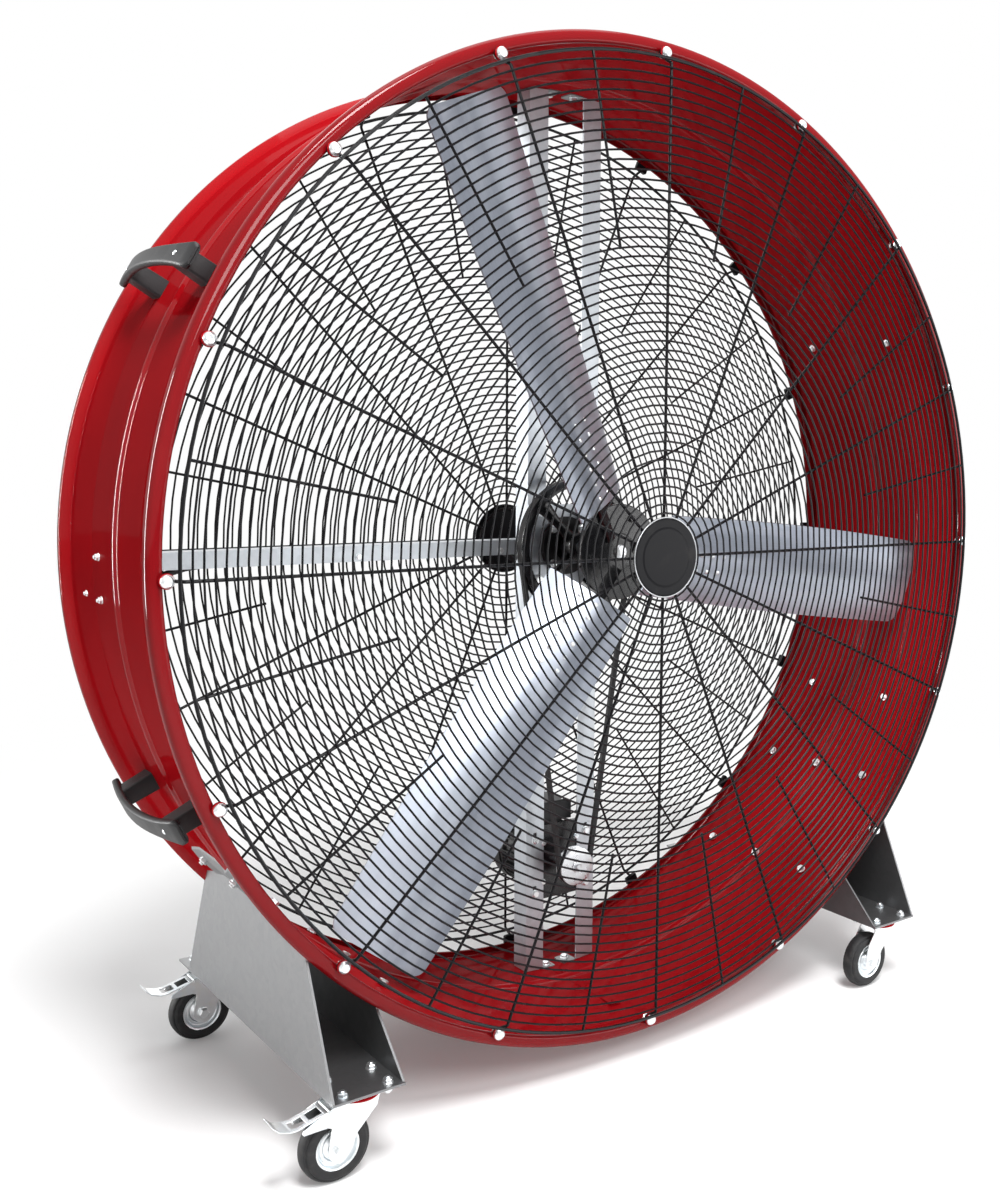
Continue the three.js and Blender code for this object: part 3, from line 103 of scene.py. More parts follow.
class Slot(Enum):
    """The record's material slots."""

    RED_PAINT = "red_paint"
    GUARD_WIRE = "guard_wire"
    PLATE_PAINT = "plate_paint"
    GALVANISED = "galvanised"
    HANDLE_PLASTIC = "handle_plastic"
    BRIGHT_STEEL = "bright_steel"
    BLACK_PAINT = "black_paint"
    BLADE_METAL = "blade_metal"
    CAST_BLACK = "cast_black"
    BOX_PLASTIC = "box_plastic"
    BELT_RUBBER = "belt_rubber"
    ZINC = "zinc"
    TYRE_RUBBER = "tyre_rubber"


# ------------------------------------------------------------------ shader maths
class Signal:
    """A number that varies over a surface, held as one output socket."""

    def __init__(self, graph: "Graph", socket: bpy.types.NodeSocket) -> None:
        """Wraps an output of a graph."""
        self.graph = graph
        self.socket = socket

    def math(self, operation: str, first: "Signal | float", second: "Signal | float") -> "Signal":
        """The result of a Math node for two values."""
        node = self.graph.node("ShaderNodeMath", {"operation": operation}, {0: first, 1: second})
        return Signal(self.graph, node.outputs[0])

    def __add__(self, other: "Signal | float") -> "Signal":
        """self + other."""
        return self.math("ADD", self, other)

    __radd__ = __add__

    def __sub__(self, other: "Signal | float") -> "Signal":
        """self - other."""
        return self.math("SUBTRACT", self, other)

    def __rsub__(self, other: "Signal | float") -> "Signal":
        """other - self."""
        return self.math("SUBTRACT", other, self)

    def __mul__(self, other: "Signal | float") -> "Signal":
        """self * other."""
        return self.math("MULTIPLY", self, other)

    def __or__(self, other: "Signal | float") -> "Signal":
        """The larger of self and other."""
        return self.math("MAXIMUM", self, other)

    def step(self, low: float, high: float) -> "Signal":
        """Smoothly 0 below low and 1 above high.

        Args:
            low: Value that gives 0.
            high: Value that gives 1.

        Returns:
            The stepped signal.
        """
        ends = {"Value": self, "From Min": low, "From Max": high}
        smooth = {"interpolation_type": "SMOOTHSTEP"}
        return Signal(self.graph, self.graph.node("ShaderNodeMapRange", smooth, ends).outputs[0])


Value = Signal | bpy.types.NodeSocket | float | Sequence[float]


class Graph:
    """The node tree of one material or world."""

    def __init__(self, tree: bpy.types.NodeTree) -> None:
        """Empties a node tree and takes it over."""
        self.tree = tree
        tree.nodes.clear()

    def node(
        self,
        kind: str,
        settings: dict[str, object] | None = None,
        inputs: dict[str | int, Value] | None = None,
    ) -> bpy.types.Node:
        """Adds one node.

        Args:
            kind: Blender's name for the node's type.
            settings: Properties, which are set first.
            inputs: Values or links for its sockets.

        Returns:
            The node.
        """
        made = self.tree.nodes.new(kind)
        for name, value in (settings or {}).items():
            setattr(made, name, value)
        for name, value in (inputs or {}).items():
            socket = made.inputs[name]
            if isinstance(value, Signal):
                self.tree.links.new(value.socket, socket)
            elif isinstance(value, bpy.types.NodeSocket):
                self.tree.links.new(value, socket)
            else:
                socket.default_value = value
        return made

    def place(self, stretch: Point = EVEN) -> bpy.types.NodeSocket:
        """The piece's own coordinates in metres, stretched along each axis."""
        inputs = {0: self.node("ShaderNodeTexCoord").outputs["Object"], 1: stretch}
        return self.node("ShaderNodeVectorMath", {"operation": "MULTIPLY"}, inputs).outputs[0]

    def noise(self, scale: float, detail: float = 2.0, stretch: Point = EVEN) -> Signal:
        """Cloudy noise from 0 to 1.

        Args:
            scale: Features per metre.
            detail: Octaves.
            stretch: Factor for each axis of the coordinates.

        Returns:
            The noise.
        """
        where = self.place(stretch)
        inputs = {"Vector": where, "Scale": scale, "Detail": detail, "Roughness": 0.55}
        return Signal(self, self.node("ShaderNodeTexNoise", None, inputs).outputs[0])

    def crystals(self, scale: float) -> Signal:
        """A random number from 0 to 1 for each cell of a crystal pattern.

        Args:
            scale: Cells per metre.

        Returns:
            The number.
        """
        inputs = {"Vector": self.place(), "Scale": scale, "Randomness": 1.0}
        cell = self.node("ShaderNodeTexVoronoi", {"feature": "F1"}, inputs).outputs["Color"]
        split = self.node("ShaderNodeSeparateColor", None, {0: cell})
        return Signal(self, split.outputs[0])

    def mix(
        self, share: Signal | float, first: Value, second: Value
    ) -> bpy.types.NodeSocket:
        """Mixes two colours.

        Args:
            share: 0 gives the first and 1 the second.
            first: A colour or a colour link.
            second: A colour or a colour link.

        Returns:
            The mixed colour.
        """
        ends = [
            end if isinstance(end, bpy.types.NodeSocket) else (*end, 1.0)
            for end in (first, second)
        ]
        settings = {"data_type": "RGBA", "clamp_factor": True}
        return self.node("ShaderNodeMix", settings, {0: share, 6: ends[0], 7: ends[1]}).outputs[2]

    def bump(self, height: Signal, strength: float, depth: float) -> bpy.types.NodeSocket:
        """The normal of a height from 0 to 1, where 1 stands for a depth in metres."""
        inputs = {"Strength": strength, "Distance": depth, "Height": height}
        return self.node("ShaderNodeBump", None, inputs).outputs[0]

    def end(self, shader: bpy.types.NodeSocket, kind: str = "ShaderNodeOutputMaterial") -> None:
        """Links a finished shader to the tree's output."""
        self.node(kind, None, {"Surface": shader})


def surface(name: str, finish: "Finish") -> bpy.types.Material:
    """Makes a material from a finish.

    Args:
        name: The material's name.
        finish: The finish.

    Returns:
        The material.
    """
    material = bpy.data.materials.new(name)
    material.use_nodes = True
    graph = Graph(material.node_tree)
    graph.end(graph.node("ShaderNodeBsdfPrincipled", None, finish.sockets(graph)).outputs[0])
    return material


# ------------------------------------------------------------------ finishes
class Finish:
    """Something that a surface is finished in."""

    def sockets(self, graph: Graph) -> dict[str, Value]:
        """Values and links for a Principled shader.

        Args:
            graph: Where the finish adds its nodes.

        Returns:
            The shader's inputs by name.
        """
        raise NotImplementedError


@dataclass(frozen=True)
class GlossEnamel(Finish):
    """Sprayed enamel with orange peel, glossier on ridge and rims, with painted shade that darkens
    the colour at the brim.
    """

    colour: Colour = (0.31, 0.004, 0.007)
    # deep colour: random cloudy tone, and the painted shade at the brim
    deep_tone_and_shade: Colour = (0.17, 0.002, 0.004)
    dust: Colour = (0.27, 0.03, 0.03)
    ridge: Pair = (0.010, 0.016)
    roll: Pair = (0.212, 0.226)
    # distances from the drum's middle over which the painted shade at the brim comes in
    brim_shade: Pair = (0.230, 0.242)

    def sockets(self, graph: Graph) -> dict[str, Value]:
        """See Finish.sockets."""
        axes = graph.node("ShaderNodeSeparateXYZ", None, {0: graph.place()})
        along = Signal(graph, axes.outputs[1])
        away = along | (0.0 - along)
        rolled = away.step(*self.roll) | (1.0 - away.step(*self.ridge))
        # painted shade: the colour darkens towards both rolled rims
        brim_shade = away.step(*self.brim_shade)
        cloud = graph.noise(2.2, 3.0)
        settled = graph.noise(7.0, 7.0).step(0.52, 0.78)
        specks = graph.noise(160.0, 2.0).step(0.71, 0.76)
        peel = graph.noise(420.0, 1.0)
        sag = graph.noise(18.0, 1.0)
        # random cloudy tone, and the painted shade at the brim, both towards the deep colour
        shade = cloud.step(0.35, 0.75) * 0.5 | brim_shade
        painted = graph.mix(shade, self.colour, self.deep_tone_and_shade)
        return {
            "Base Color": graph.mix(settled * 0.10 + specks * 0.08, painted, self.dust),
            "Roughness": 0.30 + cloud * 0.08 + settled * 0.12,
            "Specular IOR Level": 0.0,
            "Coat Weight": 0.045 + rolled * 0.33 - settled * 0.02,
            "Coat Roughness": 0.06,
            "Normal": graph.bump(peel * 0.12 + sag, 0.16, 0.0008),
        }


@dataclass(frozen=True)
class BlackCoat(Finish):
    """Black paint or powder coat; the grain says how coarse."""

    colour: Colour = (0.006, 0.006, 0.007)
    dust: Colour = (0.045, 0.042, 0.040)
    roughness: float = 0.34
    grain: float = 600.0
    depth: float = 0.0002
    shine: float = 0.3

    def sockets(self, graph: Graph) -> dict[str, Value]:
        """See Finish.sockets."""
        cloud = graph.noise(6.0, 5.0)
        settled = graph.noise(24.0, 7.0).step(0.54, 0.8)
        grain = graph.noise(self.grain, 2.0)
        return {
            "Base Color": graph.mix(settled * 0.3, self.colour, self.dust),
            "Roughness": self.roughness + cloud * 0.10 + settled * 0.10,
            "Specular IOR Level": self.shine,
            "Normal": graph.bump(grain, 0.3, self.depth),
        }


@dataclass(frozen=True)
class ZincSheet(Finish):
    """Hot-dipped sheet: faint crystals, cloudy patches and rolling streaks."""

    light: Colour = (0.235, 0.237, 0.240)
    dark: Colour = (0.185, 0.187, 0.192)
    stain: Colour = (0.165, 0.163, 0.161)
    crystals: float = 75.0

    def sockets(self, graph: Graph) -> dict[str, Value]:
        """See Finish.sockets."""
        warp = graph.noise(30.0, 2.0)
        cell = graph.crystals(self.crystals)
        fine = graph.crystals(self.crystals * 2.7)
        cloud = graph.noise(3.5, 4.0)
        streak = graph.noise(160.0, 3.0, (1.0, 1.0, 0.06))
        marks = graph.noise(14.0, 8.0).step(0.6, 0.8)
        spangle = cell * 0.5 + fine * 0.2 + warp * 0.3
        shade = graph.mix(spangle * 0.55 + cloud * 0.35, self.light, self.dark)
        return {
            "Base Color": graph.mix(marks * 0.35, shade, self.stain),
            "Metallic": 0.92,
            "Roughness": 0.34 + spangle * 0.06 + cloud * 0.10 + marks * 0.08,
            "Normal": graph.bump(streak * 0.6 + spangle * 0.5, 0.08, 0.0003),
        }


@dataclass(frozen=True)
class BladeSheet(Finish):
    """Blue-grey coated blade sheet, rolled along the blade, with wiped smudges and painted
    highlight and shade bands along it.
    """

    # painted light: the light tone is a painted highlight and the dark tone painted shade, across
    # the chord
    light: Colour = (0.52, 0.56, 0.64)
    dark: Colour = (0.16, 0.175, 0.21)
    wiped: Colour = (0.60, 0.62, 0.66)

    def sockets(self, graph: Graph) -> dict[str, Value]:
        """See Finish.sockets."""
        rolled = graph.noise(420.0, 3.0, (0.03, 1.0, 1.0))
        # painted highlight and shade: broad light and dark bands that run along the blade
        painted_light_and_shade_bands = graph.noise(9.0, 2.0, (0.10, 1.0, 1.0)).step(0.36, 0.62)
        wiped = graph.noise(16.0, 6.0, (0.5, 1.0, 1.6)).step(0.5, 0.8)
        specks = graph.noise(240.0, 2.0).step(0.69, 0.75)
        # mostly the painted highlight and shade bands, with a little of the rolling streaks
        shade = graph.mix(painted_light_and_shade_bands * 0.8 + rolled * 0.15, self.light, self.dark)
        return {
            "Base Color": graph.mix(wiped * 0.22 + specks * 0.15, shade, self.wiped),
            "Metallic": 0.70,
            "Roughness": 0.26 + rolled * 0.10 + wiped * 0.14,
            "Normal": graph.bump(rolled, 0.12, 0.0002),
        }


@dataclass(frozen=True)
class ZincPlating(Finish):
    """Bright zinc plate with a faint blue and straw passivation."""

    bright: Colour = (0.80, 0.82, 0.83)
    blue: Colour = (0.66, 0.73, 0.78)
    straw: Colour = (0.80, 0.77, 0.68)

    def sockets(self, graph: Graph) -> dict[str, Value]:
        """See Finish.sockets."""
        cloud = graph.noise(26.0, 4.0)
        drift = graph.noise(11.0, 2.0)
        scuff = graph.noise(90.0, 7.0).step(0.58, 0.75)
        tinted = graph.mix(drift.step(0.45, 0.7) * 0.6, self.bright, self.blue)
        warmed = graph.mix(cloud.step(0.55, 0.75) * 0.35, tinted, self.straw)
        return {
            "Base Color": graph.mix(scuff * 0.18, warmed, (0.55, 0.55, 0.54)),
            "Metallic": 0.95,
            "Roughness": 0.24 + cloud * 0.10 + scuff * 0.12,
            "Normal": graph.bump(graph.noise(500.0, 2.0), 0.08, 0.0002),
        }


@dataclass(frozen=True)
class TurnedSteel(Finish):
    """Machined steel with fine tool marks and an oily bloom."""

    colour: Colour = (0.62, 0.63, 0.65)
    oil: Colour = (0.34, 0.32, 0.29)

    def sockets(self, graph: Graph) -> dict[str, Value]:
        """See Finish.sockets."""
        marks = graph.noise(1500.0, 2.0, (0.05, 1.0, 0.05))
        bloom = graph.noise(40.0, 5.0).step(0.5, 0.75)
        return {
            "Base Color": graph.mix(bloom * 0.4, self.colour, self.oil),
            "Metallic": 1.0,
            "Roughness": 0.22 + marks * 0.12 + bloom * 0.15,
            "Normal": graph.bump(marks, 0.15, 0.0001),
        }


@dataclass(frozen=True)
class Moulded(Finish):
    """Moulded plastic with a fine spark-eroded grain."""

    colour: Colour = (0.008, 0.008, 0.009)
    worn: Colour = (0.035, 0.035, 0.035)
    roughness: float = 0.42

    def sockets(self, graph: Graph) -> dict[str, Value]:
        """See Finish.sockets."""
        grain = graph.noise(1100.0, 2.0)
        rubbed = graph.noise(30.0, 6.0).step(0.5, 0.8)
        return {
            "Base Color": graph.mix(rubbed * 0.5, self.colour, self.worn),
            "Roughness": self.roughness + grain * 0.1 - rubbed * 0.08,
            "Specular IOR Level": 0.35,
            "Normal": graph.bump(grain, 0.3, 0.0002),
        }


@dataclass(frozen=True)
class Rubber(Finish):
    """Black rubber that is scuffed grey where it rubs."""

    colour: Colour = (0.010, 0.010, 0.011)
    scuff: Colour = (0.08, 0.076, 0.073)
    amount: float = 0.5

    def sockets(self, graph: Graph) -> dict[str, Value]:
        """See Finish.sockets."""
        worn = graph.noise(45.0, 8.0).step(0.48, 0.78)
        fine = graph.noise(700.0, 3.0)
        return {
            "Base Color": graph.mix(worn * self.amount, self.colour, self.scuff),
            "Roughness": 0.62 + worn * 0.2,
            "Specular IOR Level": 0.35,
            "Normal": graph.bump(fine + worn * 0.5, 0.35, 0.0003),
        }


class Paintbox:
    """Keeps one material for each slot."""

    FINISHES: dict[Slot, Finish] = {
        Slot.RED_PAINT: GlossEnamel(),
        Slot.GUARD_WIRE: BlackCoat(roughness=0.22, shine=0.12),
        Slot.PLATE_PAINT: BlackCoat(roughness=0.30, grain=300.0, shine=0.08),
        Slot.GALVANISED: ZincSheet(),
        Slot.HANDLE_PLASTIC: Moulded(),
        Slot.BRIGHT_STEEL: TurnedSteel(),
        Slot.BLACK_PAINT: BlackCoat(roughness=0.18, grain=250.0, shine=0.5),
        Slot.BLADE_METAL: BladeSheet(),
        Slot.CAST_BLACK: BlackCoat(roughness=0.40, grain=420.0, depth=0.0006),
        Slot.BOX_PLASTIC: Moulded(colour=(0.012, 0.012, 0.013), roughness=0.46),
        Slot.BELT_RUBBER: Rubber(amount=0.25),
        Slot.ZINC: ZincPlating(),
        Slot.TYRE_RUBBER: Rubber(amount=0.45),
    }

    def __init__(self) -> None:
        """Builds every material."""
        self.made = {slot: surface(slot.value, look) for slot, look in self.FINISHES.items()}
        pale = ZincSheet((0.50, 0.53, 0.56), (0.38, 0.40, 0.43), (0.33, 0.34, 0.35))
        self.pale_sheet = surface("pale_sheet", pale)

    def of(self, slot: Slot) -> bpy.types.Material:
        """The material of a slot."""
        return self.made[slot]


# ------------------------------------------------------------------ meshes
def facing(at: Sequence[float], out: Sequence[float], roll: float = 0.0) -> Matrix:
    """A frame that stands on a surface.

    Args:
        at: Its origin.
        out: Where its Z axis points.
        roll: Turn about that axis, in degrees.

    Returns:
        The frame.
    """
    z = Vector(out).normalized()
    hint = Vector((0.0, 0.0, 1.0)) if abs(z.z) < 0.9 else Vector((1.0, 0.0, 0.0))
    x = hint.cross(z).normalized()
    turned = Matrix((x, z.cross(x), z)).transposed().to_4x4()
    return Matrix.Translation(Vector(at)) @ turned @ Matrix.Rotation(math.radians(roll), 4, "Z")


def rounded(corners: Sequence[Pair], radii: Sequence[float], steps: int = 5) -> list[Pair]:
    """Rounds the inner corners of an open line.

    Args:
        corners: The line's points.
        radii: One radius for each point; 0 keeps it sharp.
        steps: Points on each arc.

    Returns:
        The rounded line.
    """
    line: list[Pair] = []
    for i, corner in enumerate(corners):
        if radii[i] <= 0.0 or i in (0, len(corners) - 1):
            line.append(corner)
            continue
        here = Vector(corner)
        before = (Vector(corners[i - 1]) - here).normalized()
        after = (Vector(corners[i + 1]) - here).normalized()
        half = before.angle(after) / 2
        run = radii[i] / math.tan(half)
        start, stop = here + before * run, here + after * run
        for k in range(steps + 1):
            t = k / steps
            bent = start * (1 - t) ** 2 + here * (2 * t * (1 - t)) + stop * t**2
            line.append((bent.x, bent.y))
    return line


def loop(corners: Sequence[Pair], radius: float, steps: int = 4) -> list[Pair]:
    """Rounds every corner of a closed outline.

    Args:
        corners: The outline.
        radius: The corners' radius.
        steps: Points on each arc.

    Returns:
        The rounded outline.
    """
    count = len(corners)
    shape: list[Pair] = []
    for i in range(count):
        three = [corners[i - 1], corners[i], corners[(i + 1) % count]]
        shape.extend(rounded(three, (0.0, radius, 0.0), steps)[1:-1])
    return shape


def box_outline(width: float, height: float) -> list[Pair]:
    """A rectangle's corners about the origin."""
    w, h = width / 2, height / 2
    return [(-w, -h), (w, -h), (w, h), (-w, h)]


def arc(
    radius: float, first: float, last: float, steps: int, centre: Pair = (0.0, 0.0)
) -> list[Pair]:
    """Points on a circle's arc from a first to a last angle in degrees."""
    angles = [math.radians(first + (last - first) * i / steps) for i in range(steps + 1)]
    return [(centre[0] + radius * math.cos(a), centre[1] + radius * math.sin(a)) for a in angles]


class Skin:
    """Collects the points and faces of one piece."""

    def __init__(self) -> None:
        """Starts empty."""
        self.points: list[Vector] = []
        self.faces: list[tuple[int, ...]] = []

    def grid(self, rows: Sequence[Sequence[Vector]], closed: bool = False) -> None:
        """Joins rows of points; every row closes on itself.

        Args:
            rows: The rows, all as long as the first.
            closed: Whether the last row joins the first; otherwise both are filled.
        """
        start, count = len(self.points), len(rows[0])
        for row in rows:
            self.points.extend(row)
        total = len(rows) * count
        for i in range(len(rows) if closed else len(rows) - 1):
            for j in range(count):
                a, b = i * count + j, i * count + (j + 1) % count
                c, d = (b + count) % total, (a + count) % total
                self.faces.append((start + a, start + b, start + c, start + d))
        if not closed:
            self.faces.append(tuple(start + j for j in reversed(range(count))))
            self.faces.append(tuple(start + total - count + j for j in range(count)))

    def lathe(
        self, profile: Sequence[Pair], place: Matrix, steps: int = 48, closed: bool = False
    ) -> None:
        """Turns a profile of (radius, height) about the frame's Z axis.

        Args:
            profile: The profile.
            place: The frame.
            steps: Points round the axis.
            closed: Whether the profile closes on itself; otherwise its ends are filled.
        """
        angles = [math.tau * j / steps for j in range(steps)]
        rows = [
            [place @ Vector((r * math.cos(a), r * math.sin(a), h)) for a in angles]
            for r, h in profile
        ]
        self.grid(rows, closed)

    def ring(self, radius: float, wire: float, place: Matrix, steps: int, sides: int = 6) -> None:
        """A closed ring about the frame's Z axis; wire is the radius of its section."""
        section = arc(wire, 0.0, 360.0, sides, (radius, 0.0))[:-1]
        self.lathe(section, place, steps, closed=True)

    def add(self, other: "Skin", place: Matrix) -> None:
        """Takes over another skin's points and faces.

        Args:
            other: The skin.
            place: Where its frame stands.
        """
        start = len(self.points)
        self.points.extend(place @ p for p in other.points)
        self.faces.extend(tuple(start + k for k in face) for face in other.faces)

    def tube(self, path: Sequence[Vector], radius: float, sides: int = 8) -> None:
        """A round bar along a path.

        Args:
            path: The points of its centre line.
            radius: Its radius.
            sides: Points round it.
        """
        rows = []
        side = Vector((0.0, 0.0, 0.0))
        for i, point in enumerate(path):
            ahead = path[min(i + 1, len(path) - 1)] - path[max(i - 1, 0)]
            ahead.normalize()
            if i == 0:
                hint = Vector((0.0, 0.0, 1.0)) if abs(ahead.z) < 0.8 else Vector((0.0, 1.0, 0.0))
                side = hint.cross(ahead).normalized()
            side = (side - ahead * side.dot(ahead)).normalized()
            up = ahead.cross(side)
            angles = [math.tau * j / sides for j in range(sides)]
            rows.append([point + (side * math.cos(a) + up * math.sin(a)) * radius for a in angles])
        self.grid(rows)

    def prism(self, outline: Sequence[Pair], depth: float, place: Matrix) -> None:
        """A plate of an outline in the frame's XY plane, as deep along Z as depth."""
        rows = [[place @ Vector((x, y, z)) for x, y in outline] for z in (0.0, depth)]
        self.grid(rows)

    def block(self, low: Sequence[float], high: Sequence[float], place: Matrix) -> None:
        """A box between two corners.

        Args:
            low: Lowest corner.
            high: Highest corner.
            place: The frame that the corners are in.
        """
        size = [b - a for a, b in zip(low, high)]
        middle = shift((low[0] + high[0]) / 2, (low[1] + high[1]) / 2, low[2])
        self.prism(box_outline(size[0], size[1]), size[2], place @ middle)

    # -------------------------------------------------------------- fasteners
    def washer(self, place: Matrix, size: float) -> None:
        """A flat washer.

        Args:
            place: Frame on the surface, Z out.
            size: The bolt's thread diameter.
        """
        hole, rim, top = size * 0.3, size * 1.05, size * 0.2
        corners = [(hole, 0.0), (rim, 0.0), (rim, top), (hole, top)]
        self.lathe(rounded(corners, (0.0, 0.0, size * 0.06, 0.0), 2), place, 24)

    def bolt(self, place: Matrix, size: float, stud: float = 0.0) -> None:
        """A hexagon head on its washer.

        Args:
            place: Frame on the surface, Z out.
            size: Thread diameter.
            stud: How far a threaded end stands out of it.
        """
        self.washer(place, size)
        base, top, corner = size * 0.2, size * 0.88, size * 0.94
        self.lathe([(corner, base), (corner, top - size * 0.12), (corner * 0.84, top)], place, 6)
        if stud > 0.0:
            end = top + stud
            profile = [(size * 0.5, top * 0.5), (size * 0.5, end - size * 0.1), (size * 0.4, end)]
            self.lathe(profile, place, 16)

    def dome(self, place: Matrix, radius: float, height: float) -> None:
        """A rivet or button head.

        Args:
            place: Frame on the surface, Z out.
            radius: The head's radius.
            height: The head's height.
        """
        angles = [math.radians(a) for a in (0.0, 20.0, 42.0, 62.0, 80.0)]
        profile = [(radius * math.cos(a), height * math.sin(a)) for a in angles]
        self.lathe(profile, place, 16)


@dataclass
class Workshop:
    """Turns skins into pieces and dresses the solids that stay."""

    paint: Paintbox

    def piece(
        self,
        name: str,
        skin: Skin,
        slot: Slot,
        body: str,
        place: Matrix | None = None,
        replaces: Iterable[str] = (),
        bevel: float = 0.0,
    ) -> bpy.types.Object:
        """Makes one Blender object and lets it ride on a body.

        Args:
            name: The piece's name.
            skin: Its points and faces.
            slot: What it is finished in.
            body: The body that it moves with.
            place: Where its own frame stands.
            replaces: Solids that it stands for.
            bevel: Width of the bevel on its sharp edges.

        Returns:
            The object.
        """
        mesh = bpy.data.meshes.new(name)
        mesh.from_pydata([tuple(p) for p in skin.points], [], skin.faces)
        mesh.validate()
        made = bpy.data.objects.new(name, mesh)
        self.finish(made, slot, bevel)
        self.settle(made, body, place or Matrix(), replaces)
        log.info("%s: %d faces on %s", name, len(mesh.polygons), body)
        return made

    def settle(
        self, made: bpy.types.Object, body: str, place: Matrix, replaces: Iterable[str]
    ) -> None:
        """Places an object in the scene and lets it ride on a body.

        Args:
            made: The object.
            body: The body that it moves with.
            place: Where its own frame stands.
            replaces: Solids that it stands for.
        """
        bpy.context.scene.collection.objects.link(made)
        made.matrix_world = place
        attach(made, body)
        for node in replaces:
            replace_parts(made, node)

    def copy(self, name: str, piece: bpy.types.Object, body: str, place: Matrix,
             replaces: Iterable[str] = ()) -> None:
        """Places the same mesh once more.

        Args:
            name: The copy's name.
            piece: The piece to copy.
            body: The body that the copy moves with.
            place: Where its own frame stands.
            replaces: Solids that it stands for.
        """
        made = piece.copy()
        made.name = name
        made.parent = None
        if "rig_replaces" in made:
            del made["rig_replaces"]
        self.settle(made, body, place, replaces)
        log.info("%s: copy on %s", name, body)

    def finish(self, piece: bpy.types.Object, slot: Slot, bevel: float) -> None:
        """Gives a piece its material, smooth faces and bevelled edges.

        Args:
            piece: The object.
            slot: What it is finished in.
            bevel: Width of the bevel; 0 leaves its edges sharp.
        """
        piece.data.materials.clear()
        piece.data.materials.append(self.paint.of(slot))
        if bevel > 0.0:
            rim = piece.modifiers.new("bevel", "BEVEL")
            rim.width = bevel
            rim.segments = 2
            rim.limit_method = "ANGLE"
            rim.angle_limit = BEVEL_ANGLE
            rim.harden_normals = True
            rim.use_clamp_overlap = True
        piece.data.shade_smooth()
        if bevel <= 0.0:
            piece.data.set_sharp_from_angle(angle=SHARP_ANGLE)

    def dress(
        self,
        nodes: Iterable[str],
        slot: Slot,
        bevel: float = 0.0,
        coat: bpy.types.Material | None = None,
    ) -> None:
        """Finishes solids that are shown as they are.

        Args:
            nodes: Their names.
            slot: What they are finished in.
            bevel: Width of the bevel on their edges.
            coat: A material of their own in place of the slot's.
        """
        for node in nodes:
            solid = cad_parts[node]
            self.finish(solid, slot, bevel)
            if coat is not None:
                solid.data.materials[0] = coat
            log.info("%s: solid, dressed", node)


@dataclass
class Assembly:
    """A group of pieces that one workshop makes."""

    shop: Workshop


# ------------------------------------------------------------------ drum
@dataclass
class Drum(Assembly):
    """The rolled red shell with its ridge, flares, rims and seam."""

    outer: float = 0.940
    wall: float = 0.912
    half: float = 0.250
    sheet: float = 0.003
    lip: float = 0.916
    flare_start: float = 0.128
    flare_rise: float = 0.012
    rim_depth: float = 0.022
    rim_slope: float = 0.012
    ridge: float = 0.005
    ridge_half: float = 0.014
    seam_angle: float = -91.0

    def middle_line(self) -> list[Pair]:
        """The sheet's middle line, from the front lip to the rear lip.

        Returns:
            (radius, y) pairs.
        """
        skin = self.sheet / 2
        face = self.half - skin
        shoulder = self.half - self.rim_depth - self.rim_slope
        corners = [
            (self.lip + skin, self.half - 0.009),
            (self.lip + skin, face),
            (self.outer - skin, face),
            (self.outer - skin, self.half - self.rim_depth),
            (self.wall + self.flare_rise - skin, shoulder),
            (self.wall - skin, self.flare_start),
            (self.wall - skin, self.ridge_half * 1.2),
        ]
        side = rounded(corners, (0.0, 0.005, 0.013, 0.006, 0.009, 0.05, 0.0), 6)
        bump = [
            (self.wall - skin + self.ridge * (0.5 + 0.5 * math.cos(math.pi * t)),
             self.ridge_half * t)
            for t in (0.9, 0.7, 0.5, 0.3, 0.1)
        ]
        half = side + bump
        return [(r, -y) for r, y in half] + [(r, y) for r, y in reversed(half)]

    def profile(self) -> list[Pair]:
        """The sheet's closed section.

        Returns:
            (radius, y) pairs.
        """
        line = self.middle_line()
        both: list[list[Pair]] = [[], []]
        for i, (r, y) in enumerate(line):
            before, after = line[max(i - 1, 0)], line[min(i + 1, len(line) - 1)]
            run = Vector((after[0] - before[0], after[1] - before[1])).normalized()
            for part, sign in zip(both, (1, -1)):
                part.append((r + sign * run.y * self.sheet / 2, y - sign * run.x * self.sheet / 2))
        return both[0] + both[1][::-1]

    def build(self) -> None:
        """Makes the shell with its rolled rims, and its seam."""
        shell = Skin()
        shell.lathe(self.profile(), AROUND_Y, 240, closed=True)
        self.shop.piece("drum_skin", shell, Slot.RED_PAINT, "frame", ON_AXIS, ["drum_shell"])
        self.build_seam()

    def build_seam(self) -> None:
        """The lap where the sheet's ends meet, with its rivets."""
        seam, heads = Skin(), Skin()
        turn = about_y(-self.seam_angle)
        reach = self.flare_start + 0.04
        for radius, out in ((self.wall - self.sheet, -1), (self.wall, 1)):
            place = turn @ facing((radius, 0, 0), (out, 0, 0))
            for end in (-1, 1):
                half = loop(box_outline(reach - 0.018, 0.026), 0.004, 2)
                moved = place @ shift(end * (reach + 0.018) / 2, 0, -0.0006)
                seam.prism(half, 0.0016, moved)
            for i in range(8):
                along = -reach + 0.012 + (2 * reach - 0.024) * i / 7
                at = turn @ Vector((radius + out * 0.001, along, 0))
                heads.dome(facing(at, turn @ Vector((out, 0, 0))), 0.0042, 0.0022)
        self.shop.piece("drum_seam", seam, Slot.RED_PAINT, "frame", ON_AXIS)
        self.shop.piece("drum_seam_rivets", heads, Slot.RED_PAINT, "frame", ON_AXIS)

    def wall_frame(self, angle: float, y: float, outside: bool) -> Matrix:
        """A frame that stands on the wall.

        Args:
            angle: Degrees above +X.
            y: Place along the drum.
            outside: Whether it stands on the outer face.

        Returns:
            The frame, above the floor under the drum's middle.
        """
        a = math.radians(angle)
        radial = Vector((math.cos(a), 0, math.sin(a)))
        radius = self.wall if outside else self.wall - self.sheet
        at = radial * radius + Vector((0, y, AXIS_HEIGHT))
        return facing(at, radial if outside else -radial)


